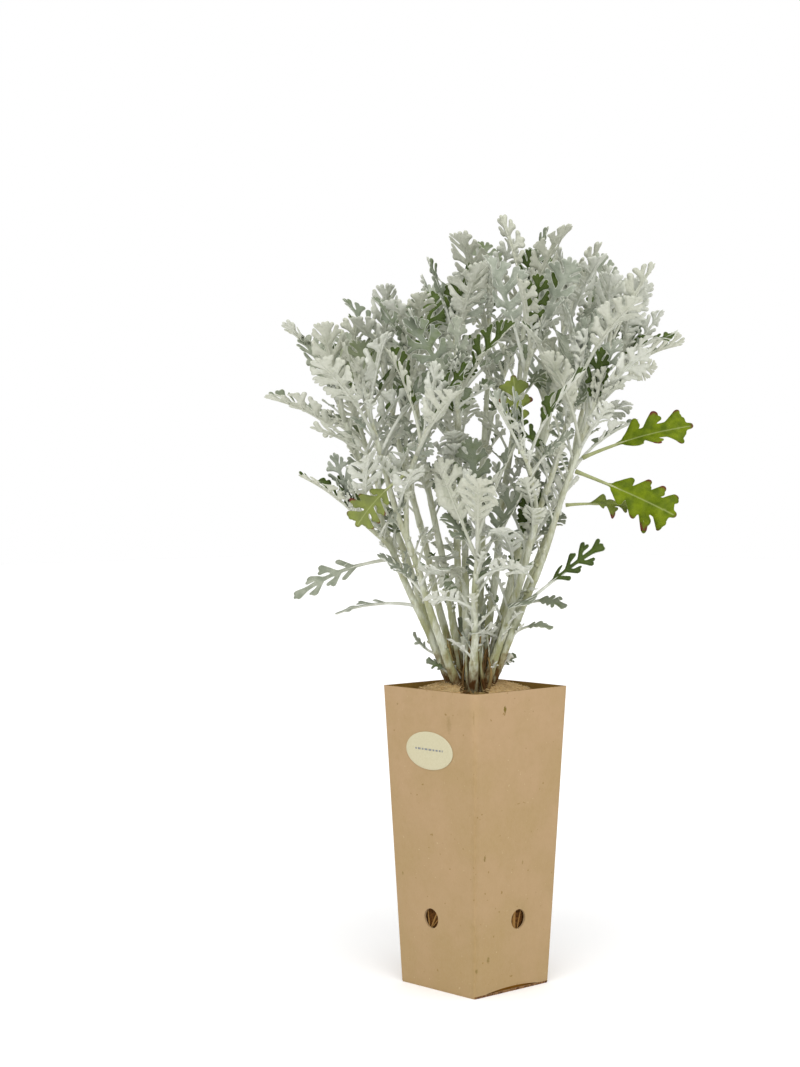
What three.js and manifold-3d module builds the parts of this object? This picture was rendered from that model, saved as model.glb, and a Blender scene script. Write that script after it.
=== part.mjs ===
// A dusty miller (Jacobaea maritima) in a folded cardboard pot.
// Millimetres, +Z up. The origin is the middle of the pot's base, and the pot's faces lie along X and Y.
import * as THREE from "three";
import { mergeVertices } from "three/addons/utils/BufferGeometryUtils.js";
import Module from "manifold-3d";

const wasm = await Module();
wasm.setup();

// ---------------------------------------------------------------- driving dimensions

const POT = { top: 90, base: 72, height: 206, board: 1.6 };
const BASE_THICK = 2 * POT.board; // the base is two flaps, one on the other
const DRAIN_HOLE = { radius: 6.9, up: 49.2, aside: 3.3, sides: 14 };
const EDGE_ARCH = { rise: 3.6, halfSpan: 35, sides: 144 }; // the open lower edge of the +X wall
const LABEL = { halfWide: 22.7, halfHigh: 13, thick: 0.4, up: 164.6, sides: 20 };

const SEAT_GAP = 0.3; // between pieces that touch
const PAST = 1; // how far a cutting solid reaches past what it cuts
const SOIL = { edge: 195, crest: 202 }; // the level at the walls, and at the stems
const MAT = { outer: 38.5, hole: 24, thick: 3.2, crest: 206.5, edge: 199.6, sides: 16 };
// The crown's profile is [radius, level above its bottom], and its stems start a little above the bottom.
const CROWN = { bottom: 184, profile: [[0, 0], [12, 0], [13, 6], [10, 14], [0, 18]], sides: 12, stemsUp: 2 };
const CROWN_HOLE = { radius: 15.5, mouth: 26 }; // in the soil, at its bottom and at its top

const FAN_TURN = 45; // the plant's broad side stands along the pot's diagonal
const BARK = { top: 221, step: 3 }; // where brown bark gives way to silver felt, in steps from stem to stem
const STEM = { sides: 5, rings: 5, footRadius: 3, tipRadius: 1.7 };
const BARK_STEM = { rings: 1, lowRadius: 3.5, topRadius: 3.2 }; // the brown foot of a stem
const FORK = { rings: 3, radius: 2.1, lead: 0.45 }; // "lead" is how far it follows its stem's direction
const BOW = 0.04; // how far a stem leans out first and straightens later

const BLADE_THICK = 0.8;
const STALK = { halfWide: 1.3, halfThick: 0.9 };
// A lobe's two outer corners, counted in steps from one lobe to the next, and the reach of the far one.
const LOBE = { near: 0.72, middle: 0.9, far: 1.22, farReach: 0.86 };
const SINUS = 0.22; // the notch between two lobes, as a share of the blade's half width
const BLADE = { endLobe: 0.75, endReach: 0.26, widestAt: 0.55, narrowing: 2.4 };
const CLEARANCE = 0.4; // between leaves that aren't fused
const TRIES = 14; // turns a leaf is given to find a free place
const LOOSE_AFTER = 3; // tries after which a leaf may turn as far as it can
const GOLDEN_ANGLE = 137.5; // from one leaf round a tip to the next
const SHOOT_TURN = 61; // from one shoot's first leaf to the next shoot's
const MOST_SHOOTS = 3; // of one stem, its own tip included
const SEED = { stem: 1000, shoot: 100, order: 15, single: 9000, singleStep: 50, green: 7000 };

const WELD = 0.01; // facets closer than this become one
const SAME_POINT = 1e-4; // points closer than this are one
const HALVINGS = 40; // of the search for a level on a stem

// Each stem's foot in the crown and its tip, as [across, away, up] in the plant's own axes, and the number of
// leaves round its tip.
const STEMS = [
  { foot: [-5.5, -3], tip: [-93, -18, 400], leaves: 7 },
  { foot: [-5.5, 4], tip: [-90, 26, 414], leaves: 7 },
  { foot: [-4, 9.5], tip: [-66, 54, 430], leaves: 7 },
  { foot: [-3.5, -9.5], tip: [-72, -44, 396], leaves: 7 },
  { foot: [-2.5, 0.5], tip: [-46, 4, 434], leaves: 8 },
  { foot: [-2, 10], tip: [-24, 58, 446], leaves: 6 },
  { foot: [-2, -5], tip: [-14, -12, 450], leaves: 8 },
  { foot: [-0.5, 6], tip: [10, 32, 470], leaves: 6 },
  { foot: [0, 0], tip: [36, 2, 474], leaves: 8 },
  { foot: [0.5, 6.5], tip: [64, 20, 464], leaves: 6 },
  { foot: [-1, -10.5], tip: [70, -46, 422], leaves: 7 },
  { foot: [0.5, 0.5], tip: [94, 4, 446], leaves: 7 },
  { foot: [1, -6.5], tip: [80, -42, 400], leaves: 7 },
  { foot: [-2.5, -11], tip: [2, -54, 316], leaves: 5 },
  { foot: [0, -3.5], tip: [36, -14, 306], leaves: 5 },
  { foot: [1, 9.5], tip: [56, 92, 404], leaves: 5 },
];

// Each fork's stem, the share of the stem below it, its tip, and the number of leaves round its tip.
const FORKS = [
  { stem: 0, from: 0.5, tip: [-80, -34, 322], leaves: 3 },
  { stem: 2, from: 0.55, tip: [-52, 88, 398], leaves: 3 },
  { stem: 3, from: 0.55, tip: [-30, -66, 384], leaves: 4 },
  { stem: 5, from: 0.6, tip: [-12, 92, 404], leaves: 3 },
  { stem: 6, from: 0.6, tip: [-12, -62, 410], leaves: 4 },
  { stem: 7, from: 0.6, tip: [24, 78, 432], leaves: 3 },
  { stem: 8, from: 0.62, tip: [38, -46, 436], leaves: 4 },
  { stem: 9, from: 0.6, tip: [50, 60, 454], leaves: 4 },
  { stem: 10, from: 0.5, tip: [30, -78, 368], leaves: 3 },
  { stem: 11, from: 0.62, tip: [80, 54, 444], leaves: 4 },
  { stem: 11, from: 0.72, tip: [106, 32, 430], leaves: 4 },
];

// Single leaves below the tips: the stem, the share of it below the leaf, the heading (0 across, 90 away),
// the rise and the bend along the leaf in degrees, the roll, the length, and the pairs of lobes.
const LOW_LEAVES = [
  { stem: 0, at: 0.53, heading: 184, rise: -4, bend: -34, roll: -62, length: 76, pairs: 3 },
  { stem: 0, at: 0.38, heading: 190, rise: 12, bend: -36, roll: -12, length: 58, pairs: 3 },
  { stem: 0, at: 0.22, heading: 200, rise: 16, bend: 50, roll: -40, length: 24, pairs: 2 },
  { stem: 12, at: 0.39, heading: -12, rise: 40, bend: -6, roll: 16, length: 68, pairs: 3 },
  { stem: 11, at: 0.31, heading: -24, rise: 30, bend: -60, roll: 24, length: 36, pairs: 3 },
  { stem: 12, at: 0.29, heading: -25, rise: 38, bend: -60, roll: 20, length: 32, pairs: 3 },
  { stem: 10, at: 0.24, heading: -70, rise: 46, bend: -30, roll: 40, length: 22, pairs: 2 },
  { stem: 13, at: 0.34, heading: -160, rise: 52, bend: -30, roll: 8, length: 24, pairs: 2 },
  { stem: 13, at: 0.5, heading: -40, rise: 50, bend: -20, roll: 20, length: 26, pairs: 2 },
  { stem: 13, at: 0.86, heading: 172, rise: 66, bend: 4, roll: 58, length: 72, pairs: 4 },
  { stem: 6, at: 0.3, heading: 190, rise: 64, bend: -20, roll: 30, length: 40, pairs: 2 },
  { stem: 3, at: 0.42, heading: 172, rise: 58, bend: -28, roll: -20, length: 44, pairs: 3 },
  { stem: 8, at: 0.46, heading: -24, rise: 66, bend: -24, roll: 30, length: 52, pairs: 3 },
];

// Old leaves that have lost their felt and turned green, each a piece of its own on its stem.
const GREEN_LEAVES = [
  { stem: 12, at: 0.84, heading: -8, rise: 24, bend: -16, roll: 54, length: 76, pairs: 3 },
  { stem: 12, at: 0.8, heading: -22, rise: -20, bend: -6, roll: 62, length: 76, pairs: 4 },
  { stem: 12, at: 0.7, heading: -6, rise: 6, bend: -14, roll: 14, length: 46, pairs: 3 },
  { stem: 3, fork: 0, at: 0.66, heading: 196, rise: -34, bend: -24, roll: -56, length: 50, pairs: 4 },
  { stem: 10, fork: 0, at: 0.96, heading: 118, rise: 82, bend: -6, roll: -12, length: 52, pairs: 3 },
];

// ---------------------------------------------------------------- solids and draws

const { Manifold, Mesh } = wasm;

// A three.js geometry as a manifold-3d solid.
function solidOf(geometry) {
  const bare = geometry.clone();
  bare.deleteAttribute("normal");
  bare.deleteAttribute("uv");
  const merged = mergeVertices(bare, SAME_POINT);
  const vertProperties = new Float32Array(merged.getAttribute("position").array);
  const triVerts = new Uint32Array(merged.index.array);
  return new Manifold(new Mesh({ numProp: 3, vertProperties, triVerts }));
}

// A manifold-3d solid as a named three.js mesh.
function piece(name, solid, material) {
  const { vertProperties, numProp, triVerts } = solid.asOriginal().simplify(WELD).getMesh();
  const position = new Float32Array((vertProperties.length / numProp) * 3);
  for (let i = 0; i < position.length / 3; i++) {
    position.set(vertProperties.subarray(i * numProp, i * numProp + 3), i * 3);
  }
  const geometry = new THREE.BufferGeometry()
    .setAttribute("position", new THREE.BufferAttribute(position, 3))
    .setIndex(new THREE.BufferAttribute(new Uint32Array(triVerts), 1));
  geometry.computeVertexNormals();
  const mesh = new THREE.Mesh(geometry, material);
  mesh.name = name;
  return mesh;
}

function geometryFrom(points, triangles) {
  const position = new Float32Array(points.flatMap((p) => [p.x, p.y, p.z]));
  return new THREE.BufferGeometry()
    .setAttribute("position", new THREE.BufferAttribute(position, 3))
    .setIndex(triangles.flat());
}

// A seeded row of draws: each number follows from the one before.
class Draws {
  constructor(seed) {
    this.state = seed;
    this.between(0, 1);
  }
  between(low, high) {
    this.state = (this.state * 16807) % 2147483647;
    return low + (high - low) * (this.state / 2147483647);
  }
}

const radians = (degrees) => (degrees * Math.PI) / 180;

// ---------------------------------------------------------------- the pot and what fills it

const halfWidthAt = (up) => (POT.base + ((POT.top - POT.base) * up) / POT.height) / 2;
const WALL_SLOPE = Math.atan((POT.top - POT.base) / 2 / POT.height);

// A square block that widens upwards with the pot's taper, "inset" inside its outer faces.
function taperedBlock(low, high, inset) {
  const corner = (up) => (halfWidthAt(up) - inset) * Math.SQRT2;
  const geometry = new THREE.CylinderGeometry(corner(high), corner(low), high - low, 4, 1)
    .rotateX(Math.PI / 2)
    .rotateZ(Math.PI / 4)
    .translate(0, 0, (low + high) / 2);
  return solidOf(geometry);
}

function potSolid() {
  const reach = POT.top; // long enough to cut both of a pair of walls
  const { radius, up, aside, sides } = DRAIN_HOLE;
  const cavity = taperedBlock(BASE_THICK, POT.height + PAST, POT.board);
  let pot = taperedBlock(0, POT.height, 0).subtract(cavity);
  for (const turn of [0, Math.PI / 2]) {
    const drill = new THREE.CylinderGeometry(radius, radius, reach, sides)
      .translate(turn ? aside : -aside, 0, up)
      .rotateZ(turn);
    pot = pot.subtract(solidOf(drill));
  }
  const { rise, halfSpan } = EDGE_ARCH;
  const archRadius = (halfSpan ** 2 + rise ** 2) / (2 * rise);
  const arch = new THREE.CylinderGeometry(archRadius, archRadius, 2 * POT.board, EDGE_ARCH.sides)
    .rotateZ(Math.PI / 2)
    .translate(halfWidthAt(0), 0, rise - archRadius);
  const aboveFlap = new THREE.BoxGeometry(reach, reach, reach).translate(0, 0, POT.board + reach / 2);
  return pot.subtract(solidOf(arch).intersect(solidOf(aboveFlap)));
}

function labelSolid() {
  const { halfWide, halfHigh, thick, up, sides } = LABEL;
  const geometry = new THREE.CylinderGeometry(1, 1, thick, sides)
    .rotateX(Math.PI / 2)
    .scale(halfWide, halfHigh, 1)
    .rotateX(Math.PI / 2 + WALL_SLOPE)
    .translate(0, -halfWidthAt(up) - SEAT_GAP - thick / 2, up);
  return solidOf(geometry);
}

// The level of a domed top that falls from crest to edge over a radius.
const domeAt = (radius, crest, edge, outer) => crest - (crest - edge) * (radius / outer) ** 2;

function latheSolid(profile, sides) {
  const points = profile.map(([radius, up]) => new THREE.Vector2(radius, up));
  return solidOf(new THREE.LatheGeometry(points, sides).rotateX(Math.PI / 2));
}

const matUnderAt = (radius) => domeAt(radius, MAT.crest, MAT.edge, MAT.outer) - MAT.thick;

function soilSolid() {
  const low = BASE_THICK + SEAT_GAP;
  const inset = POT.board + SEAT_GAP;
  const corner = POT.top; // past the pot's corners
  const radii = [0, MAT.hole, MAT.outer, corner];
  const top = (radius) => Math.max(SOIL.edge, Math.min(SOIL.crest, matUnderAt(radius) - SEAT_GAP));
  const cap = latheSolid([[0, low], [corner, low], ...radii.toReversed().map((r) => [r, top(r)])], MAT.sides);
  const floor = CROWN.bottom - SEAT_GAP;
  const ceiling = SOIL.crest + PAST;
  const { radius, mouth } = CROWN_HOLE;
  const hole = [[0, floor], [radius, floor], [mouth, ceiling], [0, ceiling]];
  return taperedBlock(low, POT.height, inset).intersect(cap).subtract(latheSolid(hole, CROWN.sides));
}

function matSolid() {
  const under = [MAT.hole, MAT.outer].map((r) => [r, matUnderAt(r)]);
  const over = [MAT.outer, MAT.hole].map((r) => [r, matUnderAt(r) + MAT.thick]);
  return latheSolid([...under, ...over, under[0]], MAT.sides);
}

// ---------------------------------------------------------------- stems

function stemCurve(foot, tip) {
  const lean = 0.5 + BOW;
  const knee = [0, 1].map((i) => foot[i] + (tip[i] - foot[i]) * lean);
  const kneeUp = CROWN.bottom + (tip[2] - CROWN.bottom) * (1 - lean);
  return new THREE.QuadraticBezierCurve3(
    new THREE.Vector3(...foot, CROWN.bottom),
    new THREE.Vector3(...knee, kneeUp),
    new THREE.Vector3(...tip),
  );
}

function forkCurve(stem, from, tip) {
  const start = stem.getPoint(from);
  const end = new THREE.Vector3(...tip);
  const knee = start.clone().addScaledVector(stem.getTangent(from), start.distanceTo(end) * FORK.lead);
  return new THREE.QuadraticBezierCurve3(start, knee, end);
}

// A closed tube along a curve between two shares of it, with a radius for each ring.
function tubeSolid(curve, from, to, rings, radiusAt) {
  const points = [];
  const triangles = [];
  for (let ring = 0; ring <= rings; ring++) {
    const t = from + ((to - from) * ring) / rings;
    const tangent = curve.getTangent(t);
    const side = new THREE.Vector3(0, 1, 0).cross(tangent).normalize();
    const other = tangent.clone().cross(side);
    for (let k = 0; k < STEM.sides; k++) {
      const angle = (2 * Math.PI * k) / STEM.sides;
      const radius = radiusAt(ring / rings);
      const rim = curve.getPoint(t).addScaledVector(side, radius * Math.cos(angle));
      points.push(rim.addScaledVector(other, radius * Math.sin(angle)));
    }
  }
  const at = (ring, k) => ring * STEM.sides + (k % STEM.sides);
  for (let ring = 0; ring < rings; ring++) {
    for (let k = 0; k < STEM.sides; k++) {
      triangles.push([at(ring, k), at(ring, k + 1), at(ring + 1, k + 1)]);
      triangles.push([at(ring, k), at(ring + 1, k + 1), at(ring + 1, k)]);
    }
  }
  for (let k = 1; k < STEM.sides - 1; k++) {
    triangles.push([at(0, 0), at(0, k + 1), at(0, k)]);
    triangles.push([at(rings, 0), at(rings, k), at(rings, k + 1)]);
  }
  return solidOf(geometryFrom(points, triangles));
}

// The share of a rising curve at which it passes a level.
function shareAtLevel(curve, up) {
  let low = 0;
  let high = 1;
  for (let i = 0; i < HALVINGS; i++) {
    const middle = (low + high) / 2;
    if (curve.getPoint(middle).z < up) low = middle;
    else high = middle;
  }
  return low;
}

const taper = (from, to) => (share) => from + (to - from) * share;

// ---------------------------------------------------------------- leaves

// A leaf's place: its root, the axis it stands round, its outward direction, and its own measures.
function leafAt(root, axis, heading, shape) {
  const eastward = new THREE.Vector3(0, 1, 0).cross(axis).normalize();
  const northward = axis.clone().cross(eastward);
  const angle = radians(heading);
  const out = eastward.multiplyScalar(Math.cos(angle)).addScaledVector(northward, Math.sin(angle));
  return { root, axis, out, side: axis.clone().cross(out), ...shape };
}

// A point of a leaf: "along" from its root, "across" from its midrib and "lift" above its upper face.
function leafPoint(leaf, along, across, lift) {
  const rise = radians(leaf.rise);
  const curvature = radians(leaf.bend) / leaf.length;
  const turn = rise + curvature * along;
  const outward = (Math.sin(turn) - Math.sin(rise)) / curvature;
  const upward = (Math.cos(rise) - Math.cos(turn)) / curvature;
  const roll = radians(leaf.roll);
  const up = leaf.axis.clone().multiplyScalar(Math.cos(turn)).addScaledVector(leaf.out, -Math.sin(turn));
  const side = leaf.side.clone().multiplyScalar(Math.cos(roll)).addScaledVector(up, Math.sin(roll));
  const normal = up.multiplyScalar(Math.cos(roll)).addScaledVector(leaf.side, -Math.sin(roll));
  const fold = radians(leaf.fold);
  return leaf.root
    .clone()
    .addScaledVector(leaf.out, outward)
    .addScaledVector(leaf.axis, upward)
    .addScaledVector(side, across * Math.cos(fold))
    .addScaledVector(normal, Math.abs(across) * Math.sin(fold) + lift);
}

// Half of a blade's outline, from its base to its tip, as [share of its length, share of its half width].
function lobes(pairs) {
  const step = 1 / (pairs + BLADE.endLobe);
  const half = [];
  for (let k = 0; k < pairs; k++) {
    const reach = 1 - BLADE.narrowing * ((k + LOBE.middle) * step - BLADE.widestAt) ** 2;
    if (k > 0) half.push([k * step, SINUS]);
    half.push([(k + LOBE.near) * step, reach], [(k + LOBE.far) * step, LOBE.farReach * reach]);
  }
  half.push([pairs * step, SINUS], [1, BLADE.endReach]);
  return half;
}

// A leaf as a closed blade, from its stalk's root or, as "blade", without its stalk.
function leafSolid(leaf, blade = false) {
  const stalk = leaf.length * leaf.stalk;
  const rib = BLADE_THICK / 2;
  const half = lobes(leaf.pairs).map(([along, across]) => ({
    along: stalk + along * (leaf.length - stalk),
    across: across * leaf.halfWidth,
    thick: rib,
  }));
  half.unshift({ along: stalk, across: STALK.halfWide, thick: STALK.halfThick });
  if (!blade) half.unshift({ along: 0, across: STALK.halfWide, thick: STALK.halfThick });
  const mirrored = half.map((p) => ({ ...p, across: -p.across }));
  const outline = [...mirrored, ...half.toReversed()];
  const flat = outline.map((p) => new THREE.Vector2(p.along, p.across));
  const faces = THREE.ShapeUtils.triangulateShape(flat, []);
  const count = outline.length;
  const points = [
    ...outline.map((p) => leafPoint(leaf, p.along, p.across, p.thick)),
    ...outline.map((p) => leafPoint(leaf, p.along, p.across, -p.thick)),
  ];
  const triangles = faces.flatMap(([a, b, c]) => [[a, b, c], [a + count, c + count, b + count]]);
  for (let i = 0; i < count; i++) {
    const j = (i + 1) % count;
    triangles.push([i + count, j + count, j], [i + count, j, i]);
  }
  return solidOf(geometryFrom(points, triangles));
}

// The leaves round a tip, counted from the youngest; "drop" is how far below the tip each grows.
const ROSETTE = [
  { length: 48, rise: 80, bend: -10, pairs: 2, drop: 0 },
  { length: 62, rise: 76, bend: -16, pairs: 2, drop: 5 },
  { length: 74, rise: 70, bend: -22, pairs: 3, drop: 12 },
  { length: 82, rise: 64, bend: -26, pairs: 3, drop: 20 },
  { length: 80, rise: 60, bend: -32, pairs: 3, drop: 30 },
  { length: 66, rise: 56, bend: -34, pairs: 2, drop: 44 },
  { length: 58, rise: 54, bend: -30, pairs: 2, drop: 70 },
  { length: 50, rise: 56, bend: -30, pairs: 2, drop: 104 },
];

// How the leaves round a tip differ, with the half width as it is on a leaf of the full length.
const VARIED = {
  heading: [-12, 12],
  length: [0.86, 1.1],
  bend: [-12, 6],
  fold: [18, 34],
  stalk: [0.32, 0.42],
  halfWidth: [11, 14],
  fullLength: 84,
};
// How much further a leaf may turn in its search for a free place: round a tip, and as a single leaf.
const LOOSE = { heading: [-30, 30], rise: [-9, 9], roll: [-22, 22] };
const LOOSE_SINGLE = { heading: [-14, 14], rise: [-8, 8], roll: [-8, 8] };
const SINGLE = { fold: 14, stalk: 0.36, leastHalfWidth: 4, lengthToHalfWidth: 9 };

function rosetteLeaf(shoot, order, draws, slack) {
  const base = ROSETTE[order];
  const drawn = (range) => draws.between(...range);
  const share = 1 - base.drop / shoot.length;
  const axis = shoot.curve.getTangent(share).add(new THREE.Vector3(0, 0, 1)).normalize();
  const turned = drawn(VARIED.heading) + slack * drawn(LOOSE.heading);
  return leafAt(shoot.curve.getPoint(share), axis, shoot.turn + order * GOLDEN_ANGLE + turned, {
    length: base.length * drawn(VARIED.length),
    rise: base.rise + slack * drawn(LOOSE.rise),
    bend: base.bend + drawn(VARIED.bend),
    roll: slack * drawn(LOOSE.roll),
    fold: drawn(VARIED.fold),
    stalk: drawn(VARIED.stalk),
    halfWidth: (base.length / VARIED.fullLength) * drawn(VARIED.halfWidth),
    pairs: base.pairs,
  });
}

function singleLeaf(shoot, row, draws, slack) {
  const axis = new THREE.Vector3(0, 0, 1);
  const loose = (range) => slack * draws.between(...range);
  return leafAt(shoot.curve.getPoint(row.at), axis, row.heading + loose(LOOSE_SINGLE.heading), {
    length: row.length,
    rise: row.rise + loose(LOOSE_SINGLE.rise),
    bend: row.bend,
    roll: row.roll + loose(LOOSE_SINGLE.roll),
    fold: SINGLE.fold,
    stalk: SINGLE.stalk,
    halfWidth: SINGLE.leastHalfWidth + row.length / SINGLE.lengthToHalfWidth,
    pairs: row.pairs,
  });
}

// ---------------------------------------------------------------- growing the plant

const barkTop = (index) => BARK.top + BARK.step * ((index * 5) % 4);

// One leafy stem: its shoots, which are its own tip and its forks', and its solid so far.
function growStem(row, index) {
  const curve = stemCurve(row.foot, row.tip);
  const forks = FORKS.filter((fork) => fork.stem === index);
  const forkCurves = forks.map((fork) => forkCurve(curve, fork.from, fork.tip));
  const start = shareAtLevel(curve, barkTop(index));
  const trunk = tubeSolid(curve, start, 1, STEM.rings, taper(STEM.footRadius, STEM.tipRadius));
  const solid = forkCurves.reduce((all, fork) => {
    return all.add(tubeSolid(fork, 0, 1, FORK.rings, taper(FORK.radius, STEM.tipRadius)));
  }, trunk);
  const shoots = [curve, ...forkCurves].map((shoot, k) => ({
    curve: shoot,
    length: shoot.getLength(),
    turn: (index * MOST_SHOOTS + k) * SHOOT_TURN,
    leaves: [row, ...forks][k].leaves,
    seed: SEED.stem * (index + 1) + SEED.shoot * k,
  }));
  return { solid, shoots };
}

// The woody crown with the brown foot of every stem.
function crownSolid() {
  const { bottom, sides, stemsUp } = CROWN;
  const { rings, lowRadius, topRadius } = BARK_STEM;
  const stock = latheSolid(CROWN.profile.map(([radius, up]) => [radius, bottom + up]), sides);
  return stems.reduce((all, { shoots: [{ curve }] }, index) => {
    const low = shareAtLevel(curve, bottom + stemsUp);
    const high = shareAtLevel(curve, barkTop(index) - SEAT_GAP);
    return all.add(tubeSolid(curve, low, high, rings, taper(lowRadius, topRadius)));
  }, stock);
}

const stems = STEMS.map(growStem);
const greens = [];

const tooClose = (a, b) => a.minGap(b, CLEARANCE) < CLEARANCE;

// Tries a leaf's places in turn and returns the first that is clear of every other piece.
function firstFree(own, makeLeaf, seed) {
  const others = [...stems.filter((stem) => stem !== own).map((stem) => stem.solid), ...greens];
  for (let attempt = 0; attempt < TRIES; attempt++) {
    const leaf = makeLeaf(new Draws(seed + attempt), Math.min(1, attempt / LOOSE_AFTER));
    const whole = leafSolid(leaf);
    const clear = !others.some((other) => tooClose(whole, other));
    if (clear && !tooClose(leafSolid(leaf, true), own.solid)) return whole;
  }
  return null;
}

const shootOf = (row) => stems[row.stem].shoots[row.fork === undefined ? 0 : row.fork + 1];

// A green leaf is moved out in small steps until it starts just outside its stem.
const STEP_OUT = 0.1;
for (const [k, row] of GREEN_LEAVES.entries()) {
  const leaf = singleLeaf(shootOf(row), row, new Draws(SEED.green + k), 0);
  while (leafSolid(leaf).minGap(stems[row.stem].solid, SEAT_GAP) < SEAT_GAP) {
    leaf.root.addScaledVector(leaf.out, STEP_OUT);
  }
  greens.push(leafSolid(leaf));
}

for (const [k, row] of LOW_LEAVES.entries()) {
  const own = stems[row.stem];
  const make = (draws, slack) => singleLeaf(shootOf(row), row, draws, slack);
  const leaf = firstFree(own, make, SEED.single + SEED.singleStep * k);
  if (leaf) own.solid = own.solid.add(leaf);
}

for (const order of ROSETTE.keys()) {
  for (const own of stems) {
    for (const shoot of own.shoots.filter((s) => order < s.leaves)) {
      const make = (draws, slack) => rosetteLeaf(shoot, order, draws, slack);
      const leaf = firstFree(own, make, shoot.seed + SEED.order * order);
      if (leaf) own.solid = own.solid.add(leaf);
    }
  }
}

// ---------------------------------------------------------------- the assembly

const matt = (color, roughness) => new THREE.MeshStandardMaterial({ color, roughness, metalness: 0 });
const board = matt(0xb99c74, 0.85);
const paper = matt(0xdbd3b2, 0.7);
const earth = matt(0x3a1e0b, 1);
const coir = matt(0xc4a67c, 1);
const bark = matt(0x5a3a1e, 0.9);
const felt = matt(0xc3c6b9, 0.95);
const bareLeaf = matt(0x727e1c, 0.6);

const plant = new THREE.Group();
plant.name = "plant";
plant.rotation.z = radians(FAN_TURN);
plant.add(piece("coir_mat", matSolid(), coir));
plant.add(piece("root_crown", crownSolid(), bark));
stems.forEach(({ solid }, i) => plant.add(piece(`stem_${String(i + 1).padStart(2, "0")}`, solid, felt)));
greens.forEach((solid, i) => plant.add(piece(`green_leaf_${i + 1}`, solid, bareLeaf)));

const dustyMiller = new THREE.Group();
dustyMiller.name = "dusty_miller";
dustyMiller.add(piece("carton_pot", potSolid(), board));
dustyMiller.add(piece("label", labelSolid(), paper));
dustyMiller.add(piece("root_ball", soilSolid(), earth));
dustyMiller.add(plant);

export default dustyMiller;
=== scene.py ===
"""A dusty miller in its folded cardboard pot: the looks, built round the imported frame.

The plant's rule is the one that places the CAD leaves, so each fine leaf lies where its CAD leaf lies.
Sizes are in millimetres up to the moment a mesh is made, in the frame's axes: +Z up, the origin in the
middle of the pot's base.
"""

from functools import partial
from math import atan, cos, pi, radians, sin, sqrt
from types import SimpleNamespace as Named

import bpy
import numpy as np
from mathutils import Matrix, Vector
from mathutils.geometry import delaunay_2d_cdt
from mathutils.kdtree import KDTree


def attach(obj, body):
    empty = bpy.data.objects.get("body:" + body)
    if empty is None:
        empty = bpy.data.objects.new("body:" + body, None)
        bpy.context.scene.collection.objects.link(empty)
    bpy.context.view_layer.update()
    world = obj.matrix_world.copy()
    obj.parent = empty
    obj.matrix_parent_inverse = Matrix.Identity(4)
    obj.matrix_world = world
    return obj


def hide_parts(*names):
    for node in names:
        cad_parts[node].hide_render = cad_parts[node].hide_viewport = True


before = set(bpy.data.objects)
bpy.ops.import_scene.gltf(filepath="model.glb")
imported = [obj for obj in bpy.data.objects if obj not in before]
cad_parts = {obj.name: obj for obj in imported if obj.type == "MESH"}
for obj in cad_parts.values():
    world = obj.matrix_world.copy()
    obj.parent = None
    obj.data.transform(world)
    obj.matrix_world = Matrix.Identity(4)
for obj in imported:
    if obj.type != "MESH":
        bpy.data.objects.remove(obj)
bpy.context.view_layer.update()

MM = 0.001
TURN = 2 * pi
UP = np.array([0.0, 0.0, 1.0])
GOLDEN_ANGLE = 137.5
RANDOM = Named(factor=16807, modulus=2147483647)


def turned(points, degrees):
    """Points turned about Z."""
    c, s = cos(radians(degrees)), sin(radians(degrees))
    return points @ np.array([[c, s, 0], [-s, c, 0], [0, 0, 1]])


def around(count):
    """Equal steps round a circle."""
    return np.arange(count) * TURN / count


def unit(vectors):
    return vectors / np.maximum(np.linalg.norm(vectors, axis=-1, keepdims=True), 1e-9)


class Draws:
    """A seeded row of draws: each number follows from the one before."""

    def __init__(self, seed):
        self.state = seed
        self(0, 1)

    def __call__(self, low, high):
        self.state = self.state * RANDOM.factor % RANDOM.modulus
        return low + (high - low) * self.state / RANDOM.modulus

    def many(self, count, low, high):
        return np.array([self(low, high) for _ in range(count)])


# ---------------------------------------------------------------- meshes

MARKS = ("upper", "inner", "green", "tone", "rib", "far", "mid")


class Shape:
    """Points, triangles and marks of one piece, gathered part by part."""

    def __init__(self):
        self.points, self.triangles, self.marks, self.count = [], [], [], 0

    def add(self, points, triangles, **marks):
        self.points.append(points)
        self.triangles.append(triangles + self.count)
        self.marks.append(np.stack([np.broadcast_to(marks.get(name, 0.0), len(points)) for name in MARKS], 1))
        self.count += len(points)

    def tube(self, *route, **marks):
        self.add(*tube(*route), **marks)

    def build(self, name, material, slot, nodes=(), turn=0):
        points = turned(np.concatenate(self.points), turn) * MM
        triangles = np.concatenate(self.triangles)
        mesh = bpy.data.meshes.new(name)
        mesh.vertices.add(len(points))
        mesh.vertices.foreach_set("co", points.astype(np.float32).ravel())
        mesh.loops.add(triangles.size)
        mesh.loops.foreach_set("vertex_index", triangles.astype(np.int32).ravel())
        mesh.polygons.add(len(triangles))
        mesh.polygons.foreach_set("loop_start", np.arange(0, triangles.size, 3, dtype=np.int32))
        mesh.update(calc_edges=True)
        mesh.validate()
        for mark, values in zip(MARKS, np.concatenate(self.marks).astype(np.float32).T):
            if values.any():
                mesh.attributes.new(mark, "FLOAT", "POINT").data.foreach_set("value", values)
        mesh.polygons.foreach_set("use_smooth", np.full(len(mesh.polygons), True))
        mesh.materials.append(material)
        made = placed(name, mesh)
        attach(made, "root")
        if nodes:
            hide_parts(*nodes)
        return made


def placed(name, data):
    made = bpy.data.objects.new(name, data)
    bpy.context.scene.collection.objects.link(made)
    return made


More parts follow.
